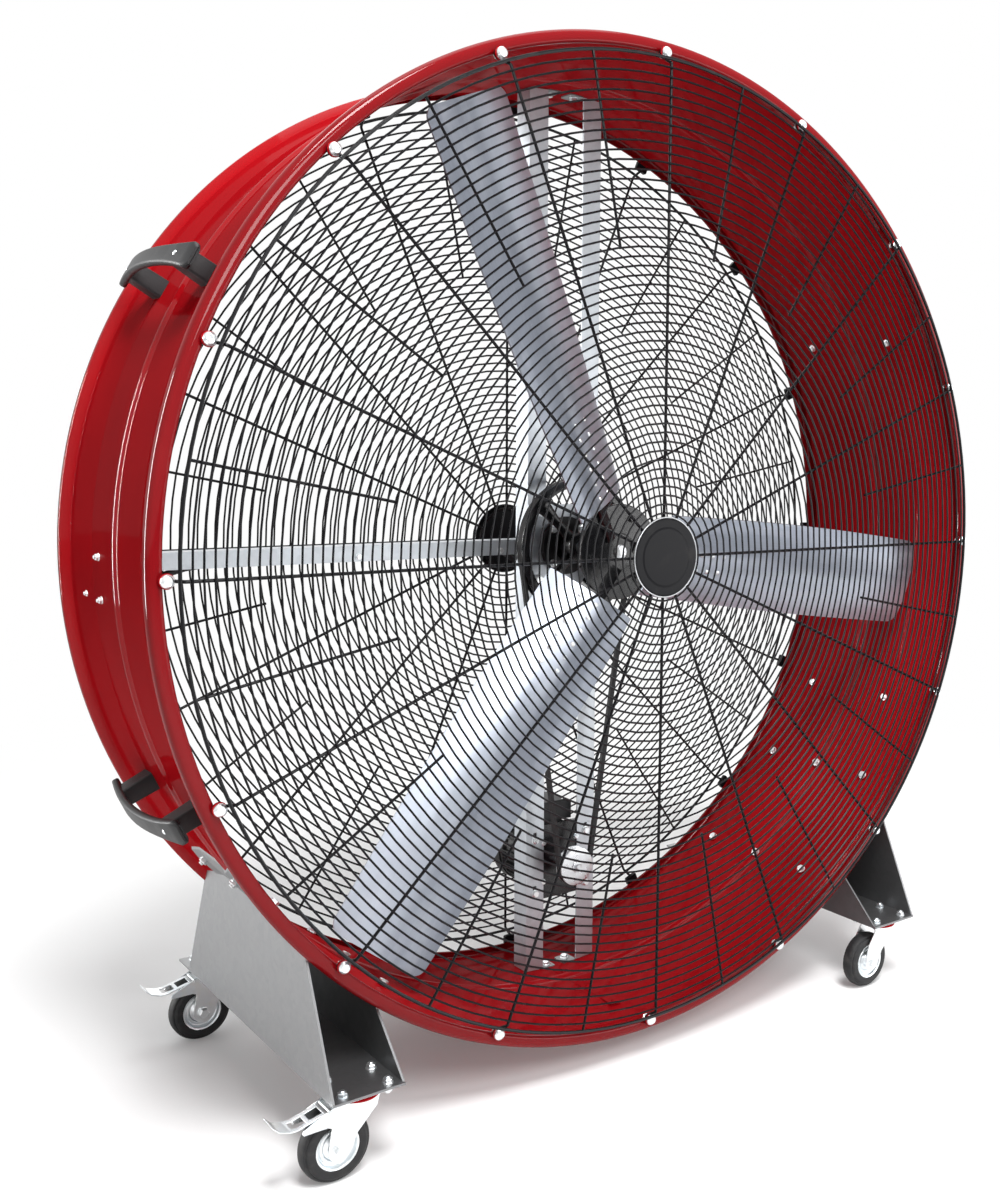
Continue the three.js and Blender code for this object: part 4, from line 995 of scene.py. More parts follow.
# ------------------------------------------------------------------ guards
@dataclass
class Guard(Assembly):
    """A wire guard: fine rings on bent radial wires, in a frame with the drum at +Y."""

    plane: float = 0.274
    radius: float = 0.900
    hub: float = 0.066
    pitch: float = 0.01668
    ring_wire: float = 0.0019
    spoke_wire: float = 0.0028
    spokes: int = 16
    short_start: float = 0.564
    stand_off: float = 0.024
    eye_at: float = 0.9135
    eye: float = 0.0086

    def wires(self) -> Skin:
        """The rings and radial wires.

        Returns:
            Their skin.
        """
        skin = Skin()
        lift = self.spoke_wire + self.ring_wire - 0.0004
        raised = AROUND_Y @ shift(0, 0, -lift)
        count = round((self.radius - self.hub) / self.pitch)
        for i in range(1, count):
            radius = self.hub + i * (self.radius - self.hub) / count
            skin.ring(radius, self.ring_wire, raised, max(32, int(radius * 132)), 6)
        skin.ring(self.radius, self.spoke_wire + 0.0003, AROUND_Y, 144, 8)
        skin.ring(self.hub, self.spoke_wire, AROUND_Y, 40, 8)
        foot = self.stand_off - self.spoke_wire - 0.0006
        for i, turn in enumerate(turns(2 * self.spokes)):
            if i % 2:
                line = [Vector((self.short_start, 0, 0)), Vector((self.radius, 0, 0))]
                skin.tube([turn @ p for p in line], self.spoke_wire - 0.0003, 8)
                continue
            bend = [(self.hub, 0.0), (self.eye_at - self.eye - 0.012, 0.0),
                    (self.eye_at - self.eye, foot)]
            bent = rounded(bend, (0.0, 0.006, 0.0), 4)
            skin.tube([turn @ Vector((x, y, 0)) for x, y in bent], self.spoke_wire, 8)
            eye = turn @ shift(self.eye_at, foot, 0) @ AROUND_Y
            skin.ring(self.eye, self.spoke_wire, eye, 24, 8)
        return skin

    def fixings(self) -> tuple[Skin, Skin]:
        """What clamps the front guard's eyes to the rim's inner edge.

        Returns:
            Round silver heads, and the red rings under them.
        """
        heads, rings = Skin(), Skin()
        for turn in turns(self.spokes):
            front = self.stand_off - 2 * self.spoke_wire - 0.0006
            place = facing(turn @ Vector((self.eye_at, front, 0)), (0, -1, 0))
            rings.lathe(rounded([(0.004, 0.0), (0.0120, 0.0), (0.0120, 0.0016), (0.004, 0.0016)],
                                (0, 0.0005, 0.0005, 0), 2), place, 32)
            crown = rounded([(0.004, 0.0012), (0.0106, 0.0012), (0.0106, 0.0056), (0.0072, 0.0096),
                             (0.0052, 0.0100), (0.0048, 0.0086), (0.001, 0.0082)],
                            (0, 0.0008, 0.0026, 0.001, 0.0006, 0.001, 0), 3)
            heads.lathe(crown, place, 28)
            stud = facing(turn @ Vector((self.eye_at, self.stand_off, 0)), (0, 1, 0))
            heads.lathe([(0.0040, -0.006), (0.0040, 0.0080), (0.0032, 0.0088)], stud, 16)
            heads.bolt(stud @ shift(0, 0, 0.0032), 0.0065)
        return heads, rings

    def clips(self) -> Skin:
        """Black saddle clips that hold the rear guard.

        Returns:
            Their skin.
        """
        skin = Skin()
        for turn in turns(self.spokes):
            place = turn @ facing((self.eye_at, self.stand_off - 0.0084, 0), (0, 1, 0))
            skin.prism(loop(box_outline(0.020, 0.030), 0.004), 0.0082, place)
            head = facing((self.eye_at, self.stand_off - 0.0086, 0), (0, -1, 0))
            skin.bolt(turn @ head, 0.0065)
        return skin

    def build(self) -> None:
        """Makes both guards and their fixings."""
        front = ON_AXIS @ shift(0, -self.plane, 0)
        rear = ON_AXIS @ shift(0, self.plane, 0) @ HALF_TURN
        wires = self.shop.piece("front_guard_wires", self.wires(), Slot.GUARD_WIRE, "frame", front,
                                ["front_guard"])
        self.shop.copy("rear_guard_wires", wires, "frame", rear, ["rear_guard"])
        heads, rings = self.fixings()
        self.shop.piece("front_guard_nuts", heads, Slot.ZINC, "frame", front)
        self.shop.piece("front_guard_rings", rings, Slot.RED_PAINT, "frame", front)
        self.shop.piece("rear_guard_clips", self.clips(), Slot.GUARD_WIRE, "frame", rear,
                        bevel=0.0006)
        self.build_plates(front, rear)

    def build_plates(self, front: Matrix, rear: Matrix) -> None:
        """The pressed discs in the middle of the guards, left bare.

        Args:
            front: The front guard's frame.
            rear: The rear guard's frame.
        """
        disc, bead = Skin(), Skin()
        line = [(0.004, -0.0103), (0.053, -0.0103), (0.057, -0.0092), (0.070, -0.0092),
                (0.0752, -0.0082), (0.0756, -0.0050), (0.0740, -0.0048), (0.0734, -0.0074),
                (0.004, -0.0078)]
        disc.lathe(rounded(line, (0, 0.003, 0.003, 0.004, 0.002, 0, 0, 0, 0), 4), AROUND_Y, 72)
        bead.ring(0.0748, 0.0013, AROUND_Y @ shift(0, 0, -0.0080), 96, 8)
        face = self.shop.piece("front_plate_disc", disc, Slot.PLATE_PAINT, "frame", front,
                               ["front_centre_plate"])
        self.shop.copy("rear_plate_disc", face, "frame", rear, ["rear_centre_plate"])
        trim = self.shop.piece("front_plate_bead", bead, Slot.BRIGHT_STEEL, "frame", front)
        self.shop.copy("rear_plate_bead", trim, "frame", rear)


# ------------------------------------------------------------------ struts and bearing
@dataclass
class Struts(Assembly):
    """The two upright angles, the side strut and what is bolted to them."""

    drum: Drum
    half_spacing: float = 0.087
    flange: float = 0.044
    front: float = 0.056
    sheet: float = 0.003
    motor_axis: float = 0.314
    slot_above: float = 0.058
    side_bolts: tuple[float, ...] = (-0.150, -0.460, -0.850)
    wall_bolts: tuple[Pair, ...] = ((179.4, 0.090), (183.9, 0.086), (183.6, 0.160))

    def build(self) -> None:
        """Dresses the angles and adds their tabs and bolts."""
        self.shop.dress(["left_strut", "right_strut", "side_strut", "bearing_plate"],
                        Slot.GALVANISED, 0.0007, self.shop.paint.pale_sheet)
        tabs, heads = Skin(), Skin()
        inner = self.drum.wall - self.drum.sheet
        for side in (-1, 1):
            for end in (-1, 1):
                x = side * (self.half_spacing - self.flange - 0.016)
                z = AXIS_HEIGHT + end * math.sqrt(inner**2 - x**2)
                place = facing((x, self.front + 0.018, z), (-x, 0, AXIS_HEIGHT - z))
                tabs.prism(loop(box_outline(0.036, 0.034), 0.005), 0.003, place)
                heads.bolt(place @ shift(side * -0.004, 0, 0.003), 0.008)
                self.slot_bolts(heads, side, end)
        for along in self.side_bolts:
            heads.bolt(facing((along, 0.059, AXIS_HEIGHT - 0.006), (0, -1, 0)), 0.006)
        for angle, y in self.wall_bolts:
            heads.bolt(self.drum.wall_frame(angle, y, False), 0.007)
            heads.bolt(self.drum.wall_frame(angle, y, True), 0.0065, 0.003)
        self.shop.piece("strut_tabs", tabs, Slot.GALVANISED, "frame", UNDER_DRUM, bevel=0.0005)
        self.shop.piece("strut_bolts", heads, Slot.ZINC, "frame", UNDER_DRUM)

    def slot_bolts(self, heads: Skin, side: int, end: int) -> None:
        """The bolts through a strut at the motor and at the bearing plate.

        Args:
            heads: Where the heads are collected.
            side: -1 for the left strut and 1 for the right one.
            end: -1 for the lower bolt and 1 for the upper one.
        """
        x = side * (self.half_spacing - self.flange / 2)
        motor = (x, self.front, self.motor_axis + end * self.slot_above - 0.005)
        heads.bolt(facing(motor, (0, -1, 0), 12.0), 0.008)
        plate = (x, self.front - 0.0053, AXIS_HEIGHT + end * 0.068)
        heads.bolt(facing(plate, (0, -1, 0), 20.0), 0.010)
        back = (x, self.front + self.sheet, AXIS_HEIGHT + end * 0.068)
        heads.bolt(facing(back, (0, 1, 0), 8.0), 0.010, 0.006)


@dataclass
class BearingUnit(Assembly):
    """The flanged cartridge that carries the fan shaft."""

    front: float = 0.0404
    length: float = 0.104
    radius: float = 0.038
    flange: float = 0.060
    flange_depth: float = 0.010
    bore: float = 0.0158

    def build(self) -> None:
        """Makes the cartridge, its flange bolts and grease nipple."""
        body, heads = Skin(), Skin()
        back = self.front + self.length
        behind = self.front + self.flange_depth
        outline = rounded(
            [(self.bore, self.front + 0.002), (0.029, self.front + 0.002), (0.031, self.front),
             (self.flange, self.front), (self.flange, behind), (self.radius, behind),
             (self.radius, back), (0.030, back), (0.029, back - 0.002), (self.bore, back - 0.002)],
            (0, 0.001, 0.001, 0.002, 0.002, 0.003, 0.003, 0.001, 0.001, 0), 3)
        body.lathe(outline, AROUND_Y, 64, closed=True)
        for i, turn in enumerate(turns(4, 45.0)):
            heads.bolt(facing(turn @ Vector((0.0495, self.front, 0)), (0, -1, 0), 11.0 * i), 0.008)
        nipple = facing((0, self.front + 0.065, self.radius - 0.0005), (0, 0, 1))
        heads.lathe([(0.004, 0), (0.004, 0.004), (0.0022, 0.006), (0.003, 0.009), (0.002, 0.011)],
                    nipple, 14)
        self.shop.piece("bearing_cartridge", body, Slot.CAST_BLACK, "frame", ON_AXIS,
                        ["bearing_housing"])
        self.shop.piece("bearing_bolts", heads, Slot.ZINC, "frame", ON_AXIS)
        self.shop.dress(["front_bearing", "rear_bearing"], Slot.BRIGHT_STEEL)


# ------------------------------------------------------------------ rotor
@dataclass
class Blade:
    """A twisted, cambered blade of sheet, in a frame whose X axis runs along it."""

    plane: float = -0.127
    root: float = 0.100
    tip: float = 0.874
    root_chord: float = 0.186
    tip_chord: float = 0.200
    belly: float = 0.014
    root_pitch: float = 27.0
    tip_pitch: float = 10.5
    camber: float = 0.015
    sheet: float = 0.003
    corner: float = 0.022

    def share(self, radius: float) -> float:
        """0 at the root and 1 at the tip."""
        return (radius - self.root) / (self.tip - self.root)

    def point(self, radius: float, across: float, lift: float) -> Vector:
        """A point on or behind the blade's front face.

        Args:
            radius: Distance from the fan's axis.
            across: Distance along the chord, from its middle.
            lift: Distance behind the front face.

        Returns:
            The point in the blade's frame.
        """
        share = self.share(radius)
        pitch = math.radians(self.root_pitch + (self.tip_pitch - self.root_pitch) * share)
        rise = self.camber * (1 - (2 * across / self.tip_chord) ** 2) - lift
        y = self.plane - rise * math.cos(pitch) - across * math.sin(pitch)
        return Vector((radius, y, across * math.cos(pitch) - rise * math.sin(pitch)))

    def facing_front(self, radius: float, across: float) -> Matrix:
        """A frame that stands on the front face."""
        at = self.point(radius, across, 0.0)
        return facing(at, at - self.point(radius, across, 0.01))

    def chord(self, radius: float) -> float:
        """The blade's width, with its rounded tip corners.

        Args:
            radius: Distance from the fan's axis.

        Returns:
            The width.
        """
        share = self.share(radius)
        width = self.root_chord + (self.tip_chord - self.root_chord) * share
        past = max(0.0, radius - (self.tip - self.corner))
        rounding = self.corner - math.sqrt(max(0.0, self.corner**2 - past**2))
        return width + self.belly * math.sin(math.pi * share) - 2 * rounding

    def strip(
        self, radii: Sequence[float], width: float | None, lift: float, sheet: float
    ) -> Skin:
        """A strip that follows the blade's twist and camber.

        Args:
            radii: Its stations.
            width: Its width, or None for the blade's own.
            lift: How far its front face lies behind the blade's.
            sheet: Its thickness.

        Returns:
            The strip.
        """
        skin, rows, steps = Skin(), [], 14
        for radius in radii:
            chord = self.chord(radius) if width is None else width
            across = [chord * (j / steps - 0.5) for j in range(steps + 1)]
            front = [self.point(radius, a, lift) for a in across]
            back = [self.point(radius, a, lift + sheet) for a in reversed(across)]
            rows.append(front + back)
        skin.grid(rows)
        return skin

    def stations(self) -> list[float]:
        """Where the blade is cut, closer together round its corners.

        Returns:
            Radii from the root to the tip.
        """
        shoulder = self.tip - self.corner
        even = [self.root + (shoulder - self.root) * i / 30 for i in range(31)]
        turned = [shoulder + self.corner * math.sin(math.pi / 2 * i / 8) for i in range(1, 9)]
        return even + turned


@dataclass
class Rotor(Assembly):
    """Blades, hub and shaft; the driven pulley on the same body is made by the belt drive."""

    blade: Blade
    first_angle: float = -7.0
    count: int = 3
    hub_front: float = -0.140
    hub_length: float = 0.046
    boss: float = 0.046
    disc: float = 0.094
    arm_end: float = 0.286
    arm_width: float = 0.056
    shaft: float = 0.015
    shaft_back: float = 0.1494
    body: str = "fan_rotor"

    def arm(self, i: int) -> Matrix:
        """A frame whose X axis runs along a blade."""
        return about_y(-(self.first_angle + 360.0 * i / self.count))

    def build(self) -> None:
        """Makes the rotor's pieces, all on its body."""
        shape = self.blade.strip(self.blade.stations(), None, 0.0, self.blade.sheet)
        rivets = Skin()
        for i in range(6):
            radius = 0.118 + 0.030 * i
            for across in (-0.018, 0.018):
                rivets.dome(self.blade.facing_front(radius, across), 0.0048, 0.0026)
        place = ON_AXIS @ self.arm(0)
        sheet = self.shop.piece("blade_1_sheet", shape, Slot.BLADE_METAL, self.body, place,
                                ["blade_1"])
        studs = self.shop.piece("blade_1_rivets", rivets, Slot.ZINC, self.body, place)
        for i in range(1, self.count):
            place = ON_AXIS @ self.arm(i)
            self.shop.copy(f"blade_{i + 1}_sheet", sheet, self.body, place, [f"blade_{i + 1}"])
            self.shop.copy(f"blade_{i + 1}_rivets", studs, self.body, place)
        self.build_hub()

    def build_hub(self) -> None:
        """The cast boss with its disc, arms, bolts and the shaft."""
        hub, heads, shaft = Skin(), Skin(), Skin()
        front, back = self.hub_front, self.hub_front + self.hub_length
        profile = rounded(
            [(self.shaft, front), (self.boss * 0.78, front), (self.boss * 0.78, front + 0.001),
             (self.disc, front + 0.001), (self.disc, front + 0.006), (self.boss, front + 0.006),
             (self.boss, back), (self.shaft, back)],
            (0, 0.001, 0.001, 0.002, 0.001, 0.006, 0.003, 0), 4)
        hub.lathe(profile, AROUND_Y, 72, closed=True)
        radii = [0.030 + (self.arm_end - 0.030) * i / 12 for i in range(13)]
        arm = self.blade.strip(radii, self.arm_width, self.blade.sheet + 0.0009, 0.005)
        for i in range(self.count):
            hub.add(arm, self.arm(i))
        for turn in turns(self.count, self.first_angle + 60.0):
            heads.bolt(facing(turn @ Vector((0.070, front + 0.001, 0)), (0, -1, 0)), 0.007)
        shaft.lathe(rounded([(0.001, front - 0.0050), (self.shaft, front - 0.0040),
                             (self.shaft, self.shaft_back), (0.004, self.shaft_back)],
                            (0, 0.003, 0.0015, 0), 4), AROUND_Y, 40)
        self.shop.piece("hub_casting", hub, Slot.BLACK_PAINT, self.body, ON_AXIS, ["blade_hub"])
        self.shop.piece("hub_bolts", heads, Slot.BLACK_PAINT, self.body, ON_AXIS)
        self.shop.piece("shaft_bar", shaft, Slot.BRIGHT_STEEL, self.body, ON_AXIS, ["fan_shaft"])


@dataclass
class BeltDrive(Assembly):
    """The spoked pulley, the V-belt and the motor's pulley."""

    driven: float = 0.141
    drive: float = 0.040
    spacing: float = 0.673
    y: float = 0.004
    width: float = 0.020
    belt_width: float = 0.013
    belt_depth: float = 0.008
    taper: float = 0.0026
    spokes: int = 4
    driven_steps: int = 40
    drive_steps: int = 24

    def groove(self, radius: float, inner: float) -> list[Pair]:
        """A rim's closed section with its V groove.

        Args:
            radius: The rim's radius.
            inner: The radius that it starts at.

        Returns:
            (radius, y) pairs.
        """
        half, mouth = self.width / 2, self.belt_width / 2 + 0.0006
        floor, depth = mouth - self.taper, self.belt_depth + 0.0012
        corners = [(inner, -half), (radius, -half), (radius, -mouth), (radius - depth, -floor),
                   (radius - depth, floor), (radius, mouth), (radius, half), (inner, half)]
        return rounded(corners, (0, 0.001, 0.0006, 0.0006, 0.0006, 0.0006, 0.001, 0), 2)

    def build(self) -> None:
        """Makes the belt and both pulleys."""
        self.build_driven()
        self.build_drive()
        belt = Skin()
        belt.grid(self.belt_rows(), closed=True)
        self.shop.piece("belt_loop", belt, Slot.BELT_RUBBER, "frame", ON_AXIS, ["drive_belt"])

    def build_driven(self) -> None:
        """The large pulley with tapered spokes."""
        wheel, screws = Skin(), Skin()
        centre = AROUND_Y @ shift(0, 0, self.y)
        wheel.lathe(self.groove(self.driven, self.driven - 0.018), centre, 120, closed=True)
        hub = rounded([(0.0153, -0.017), (0.030, -0.017), (0.030, 0.017), (0.0153, 0.017)],
                      (0, 0.003, 0.003, 0), 3)
        wheel.lathe(hub, centre, 48, closed=True)
        for turn in turns(self.spokes, 45.0):
            rows = []
            for t in (0.0, 0.2, 0.5, 0.8, 1.0):
                reach = 0.024 + (self.driven - 0.043) * t
                wide = 0.0145 - 0.005 * math.sin(math.pi * min(1.0, t * 1.1)) + 0.004 * t**4
                ring = [Vector((reach, self.y + 0.0042 * math.sin(a), wide * math.cos(a)))
                        for a in (math.tau * k / 16 for k in range(16))]
                rows.append([turn @ p for p in ring])
            wheel.grid(rows)
        screws.lathe([(0.0035, 0), (0.0035, 0.003), (0.0028, 0.0035)],
                     facing((0.0, self.y - 0.011, 0.029), (0, 0, 1)), 12)
        self.shop.piece("driven_pulley_wheel", wheel, Slot.BLACK_PAINT, "fan_rotor", ON_AXIS,
                        ["driven_pulley"])
        self.shop.piece("driven_pulley_screw", screws, Slot.ZINC, "fan_rotor", ON_AXIS)

    def build_drive(self) -> None:
        """The small pulley and the motor's shaft."""
        wheel, shaft = Skin(), Skin()
        low = ON_AXIS @ shift(0, 0, -self.spacing)
        centre = AROUND_Y @ shift(0, 0, self.y)
        wheel.lathe(self.groove(self.drive, 0.0123), centre, 64, closed=True)
        shaft.lathe(rounded([(0.003, -0.008), (0.012, -0.008), (0.012, 0.1752), (0.003, 0.1752)],
                            (0, 0.0012, 0.001, 0), 3), AROUND_Y, 32)
        shaft.bolt(facing((0, self.y - 0.0122, 0), (0, -1, 0)), 0.008)
        self.shop.piece("motor_pulley_wheel", wheel, Slot.BRIGHT_STEEL, "motor_rotor", low,
                        ["drive_pulley"])
        self.shop.piece("motor_shaft_bar", shaft, Slot.BRIGHT_STEEL, "motor_rotor", low,
                        ["motor_shaft"])

    def belt_rows(self) -> list[list[Vector]]:
        """The belt's sections round its path.

        Returns:
            Rows of four points.
        """
        lean = math.asin((self.driven - self.drive) / self.spacing)
        path = [
            (-lean + (math.pi + 2 * lean) * i / self.driven_steps, self.driven, 0.0)
            for i in range(self.driven_steps + 1)
        ] + [
            (math.pi + lean + (math.pi - 2 * lean) * i / self.drive_steps, self.drive,
             -self.spacing)
            for i in range(self.drive_steps + 1)
        ]
        top = self.belt_width / 2
        section = [(0.0, -top), (0.0, top), (self.belt_depth, top - self.taper),
                   (self.belt_depth, self.taper - top)]
        return [
            [Vector(((radius - d) * math.cos(n), self.y + y, centre + (radius - d) * math.sin(n)))
             for d, y in section]
            for n, radius, centre in path
        ]


# ------------------------------------------------------------------ motor and wiring
@dataclass
class Motor(Assembly):
    """A finned motor behind its plate, between the struts."""

    axis: float = 0.314
    radius: float = 0.079
    root: float = 0.0695
    front: float = 0.0676
    length: float = 0.108
    cover: float = 0.040
    fins: int = 36
    box_width: float = 0.084
    box_length: float = 0.088
    bore: float = 0.0128

    def build(self) -> None:
        """Makes the body, cover, plate and terminal box."""
        low = shift(0, DRUM_Y, self.axis)
        body, heads = Skin(), Skin()
        back, land = self.front + self.length, self.radius - 0.002
        shell = rounded([(self.bore, self.front), (land, self.front), (land, self.front + 0.014),
                         (self.root, self.front + 0.018), (self.root, back - 0.014),
                         (land, back - 0.010), (land, back), (self.bore, back)],
                        (0, 0.003, 0.002, 0.002, 0.002, 0.002, 0.002, 0), 3)
        body.lathe(shell, AROUND_Y, 72, closed=True)
        for i in range(self.fins):
            angle = 360.0 * (i + 0.5) / self.fins
            if abs((angle % 360.0) - 270.0) < 31.0:
                continue
            turn = about_y(angle)
            body.block((self.root - 0.004, self.front + 0.012, -0.0013),
                       (self.radius - 0.0004, back - 0.008, 0.0013), turn)
        for turn in turns(4, 45.0):
            heads.bolt(facing(turn @ Vector((0.060, self.front - 0.0083, 0)), (0, -1, 0)), 0.006)
        self.shop.piece("motor_casting", body, Slot.CAST_BLACK, "frame", low, ["motor_body"])
        self.shop.piece("motor_bolts", heads, Slot.ZINC, "frame", low)
        self.build_cover(low, back)
        self.shop.dress(["motor_plate"], Slot.BLACK_PAINT, 0.0008)
        self.build_box()

    def build_cover(self, low: Matrix, back: float) -> None:
        """The cooling fan's cover with its ringed inlet.

        Args:
            low: The motor's frame.
            back: Where the cover starts.
        """
        cover = Skin()
        start, end = back + 0.0003, back + self.cover
        line = rounded([(0.052, end), (self.radius - 0.008, end), (self.radius, end - 0.012),
                        (self.radius, start), (self.radius - 0.002, start),
                        (self.radius - 0.002, end - 0.013), (self.radius - 0.010, end - 0.002),
                        (0.052, end - 0.002)], (0, 0.004, 0.004, 0, 0, 0.003, 0.003, 0), 3)
        cover.lathe(line, AROUND_Y, 72, closed=True)
        for radius in (0.010, 0.018, 0.026, 0.034, 0.042, 0.050):
            cover.ring(radius, 0.0016, AROUND_Y @ shift(0, 0, end - 0.0016), 48, 6)
        for turn in turns(6):
            cover.tube([turn @ Vector((0.004, end - 0.0030, 0)),
                        turn @ Vector((0.055, end - 0.0030, 0))], 0.0015, 6)
        inside = AROUND_Y @ shift(0, 0, end - 0.010)
        cover.lathe([(0.004, 0.0), (0.070, 0.0), (0.070, 0.001), (0.004, 0.001)], inside, 40)
        self.shop.piece("motor_cover_shell", cover, Slot.CAST_BLACK, "frame", low,
                        ["motor_fan_cover"])

    def build_box(self) -> None:
        """The terminal box with its lid, screws and gland."""
        self.shop.dress(["terminal_box"], Slot.BOX_PLASTIC, 0.0015)
        lid, screws = Skin(), Skin()
        low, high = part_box("terminal_box")
        centre = (low + high) / 2
        top = shift(centre.x, centre.y, high.z - 0.0002)
        outline = loop(box_outline(self.box_width - 0.014, self.box_length - 0.006), 0.006)
        lid.prism(outline, 0.0024, top)
        for x, y in box_outline(0.056, 0.068):
            screws.dome(facing(top @ Vector((x, y, 0.0024)), (0, 0, 1)), 0.0035, 0.0018)
        gland = facing((low.x + 0.0005, centre.y, centre.z), (-1, 0, 0))
        lid.lathe([(0.0105, 0.0), (0.0105, 0.005), (0.0090, 0.006), (0.0090, 0.013),
                   (0.0075, 0.015)], gland, 12)
        self.shop.piece("terminal_lid", lid, Slot.BOX_PLASTIC, "frame", bevel=0.0006)
        self.shop.piece("terminal_screws", screws, Slot.ZINC, "frame")


@dataclass
class Wiring(Assembly):
    """The switch box on the wall and the cable from it to the motor."""

    knob: float = 0.019

    def build(self) -> None:
        """Dresses the box and the cable and adds lid, knob, screws and ties."""
        self.shop.dress(["switch_box"], Slot.BOX_PLASTIC, 0.0025)
        self.shop.dress(["supply_gland"], Slot.BOX_PLASTIC, 0.0006)
        self.shop.dress(["motor_cable"], Slot.BELT_RUBBER)
        self.build_lid()
        self.build_ties()

    def build_lid(self) -> None:
        """The switch box's lid with a turn knob, and the gland's cap."""
        low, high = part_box("switch_box")
        centre = (low + high) / 2
        face = facing((high.x - 0.0003, centre.y, centre.z), (1, 0, 0))
        lid, screws, knob = Skin(), Skin(), Skin()
        lid.prism(loop(box_outline(0.112, 0.084), 0.008), 0.004, face)
        for x, y in box_outline(0.094, 0.066):
            screws.dome(face @ shift(x, y, 0.004), 0.0035, 0.0018)
        boss = face @ shift(0, 0, 0.004)
        knob.lathe(rounded([(0.002, 0.0), (self.knob + 0.006, 0.0), (self.knob + 0.006, 0.003),
                            (self.knob, 0.003), (self.knob - 0.002, 0.014), (0.002, 0.014)],
                           (0, 0, 0.001, 0.001, 0.003, 0), 3), boss, 40)
        knob.prism(loop(box_outline(0.034, 0.008), 0.003), 0.022, boss)
        gland_low, gland_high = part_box("supply_gland")
        under = (gland_low + gland_high) / 2
        cap = facing((under.x, under.y, gland_low.z + 0.0002), (0, 0, -1))
        knob.lathe([(0.0100, 0.0), (0.0100, 0.004), (0.0085, 0.006), (0.0050, 0.006)], cap, 24)
        self.shop.piece("switch_lid", lid, Slot.BOX_PLASTIC, "frame", bevel=0.0012)
        self.shop.piece("switch_knob", knob, Slot.HANDLE_PLASTIC, "frame", bevel=0.0008)
        self.shop.piece("switch_screws", screws, Slot.ZINC, "frame")

    def build_ties(self) -> None:
        """Black ties that hold the cable to the struts."""
        ties = Skin()
        section = [(0.0066, -0.002), (0.0078, -0.002), (0.0078, 0.002), (0.0066, 0.002)]
        spots = [((x, 0.076, AXIS_HEIGHT - 0.008), (1, 0, 0))
                 for x in (-0.24, -0.40, -0.56, -0.70)]
        spots += [((-0.0777, 0.084, z), (0, 0, 1)) for z in (0.52, 0.64, 0.76)]
        for at, along in spots:
            ties.lathe(section, facing(at, along), 20, closed=True)
        self.shop.piece("cable_ties", ties, Slot.HANDLE_PLASTIC, "frame", UNDER_DRUM)


# ------------------------------------------------------------------ feet and handles
@dataclass
class Feet(Assembly):
    """The folded feet and the bolts through them."""

    drum: Drum
    outer: float = 0.701
    inner: float = 0.573
    floor: float = 0.152
    bolt_spread: float = 0.150

    def build(self) -> None:
        """Dresses the feet and adds their bolts."""
        self.shop.dress(["left_foot", "right_foot"], Slot.GALVANISED, 0.0009)
        heads = Skin()
        for side in (-1, 1):
            for x in (self.outer + 0.022, self.inner - 0.048):
                angle = math.degrees(math.acos(x / self.drum.wall))
                angle = -angle if side > 0 else angle - 180.0
                for y in (-self.bolt_spread, 0.0, self.bolt_spread):
                    on_flange = self.drum.wall_frame(angle, y, True) @ shift(0, 0, 0.0043)
                    heads.bolt(on_flange, 0.009, 0.004)
                    heads.bolt(self.drum.wall_frame(angle, y, False), 0.009)
            for y in (-CASTOR_Y - DRUM_Y, CASTOR_Y - DRUM_Y):
                for dx, dy in box_outline(*CASTOR_BOLTS):
                    at = (side * CASTOR_X + dx, y + dy, self.floor)
                    heads.bolt(facing(at, (0, 0, 1), math.copysign(17.0, dx)), 0.009, 0.003)
        self.shop.piece("foot_bolts", heads, Slot.ZINC, "frame", UNDER_DRUM)


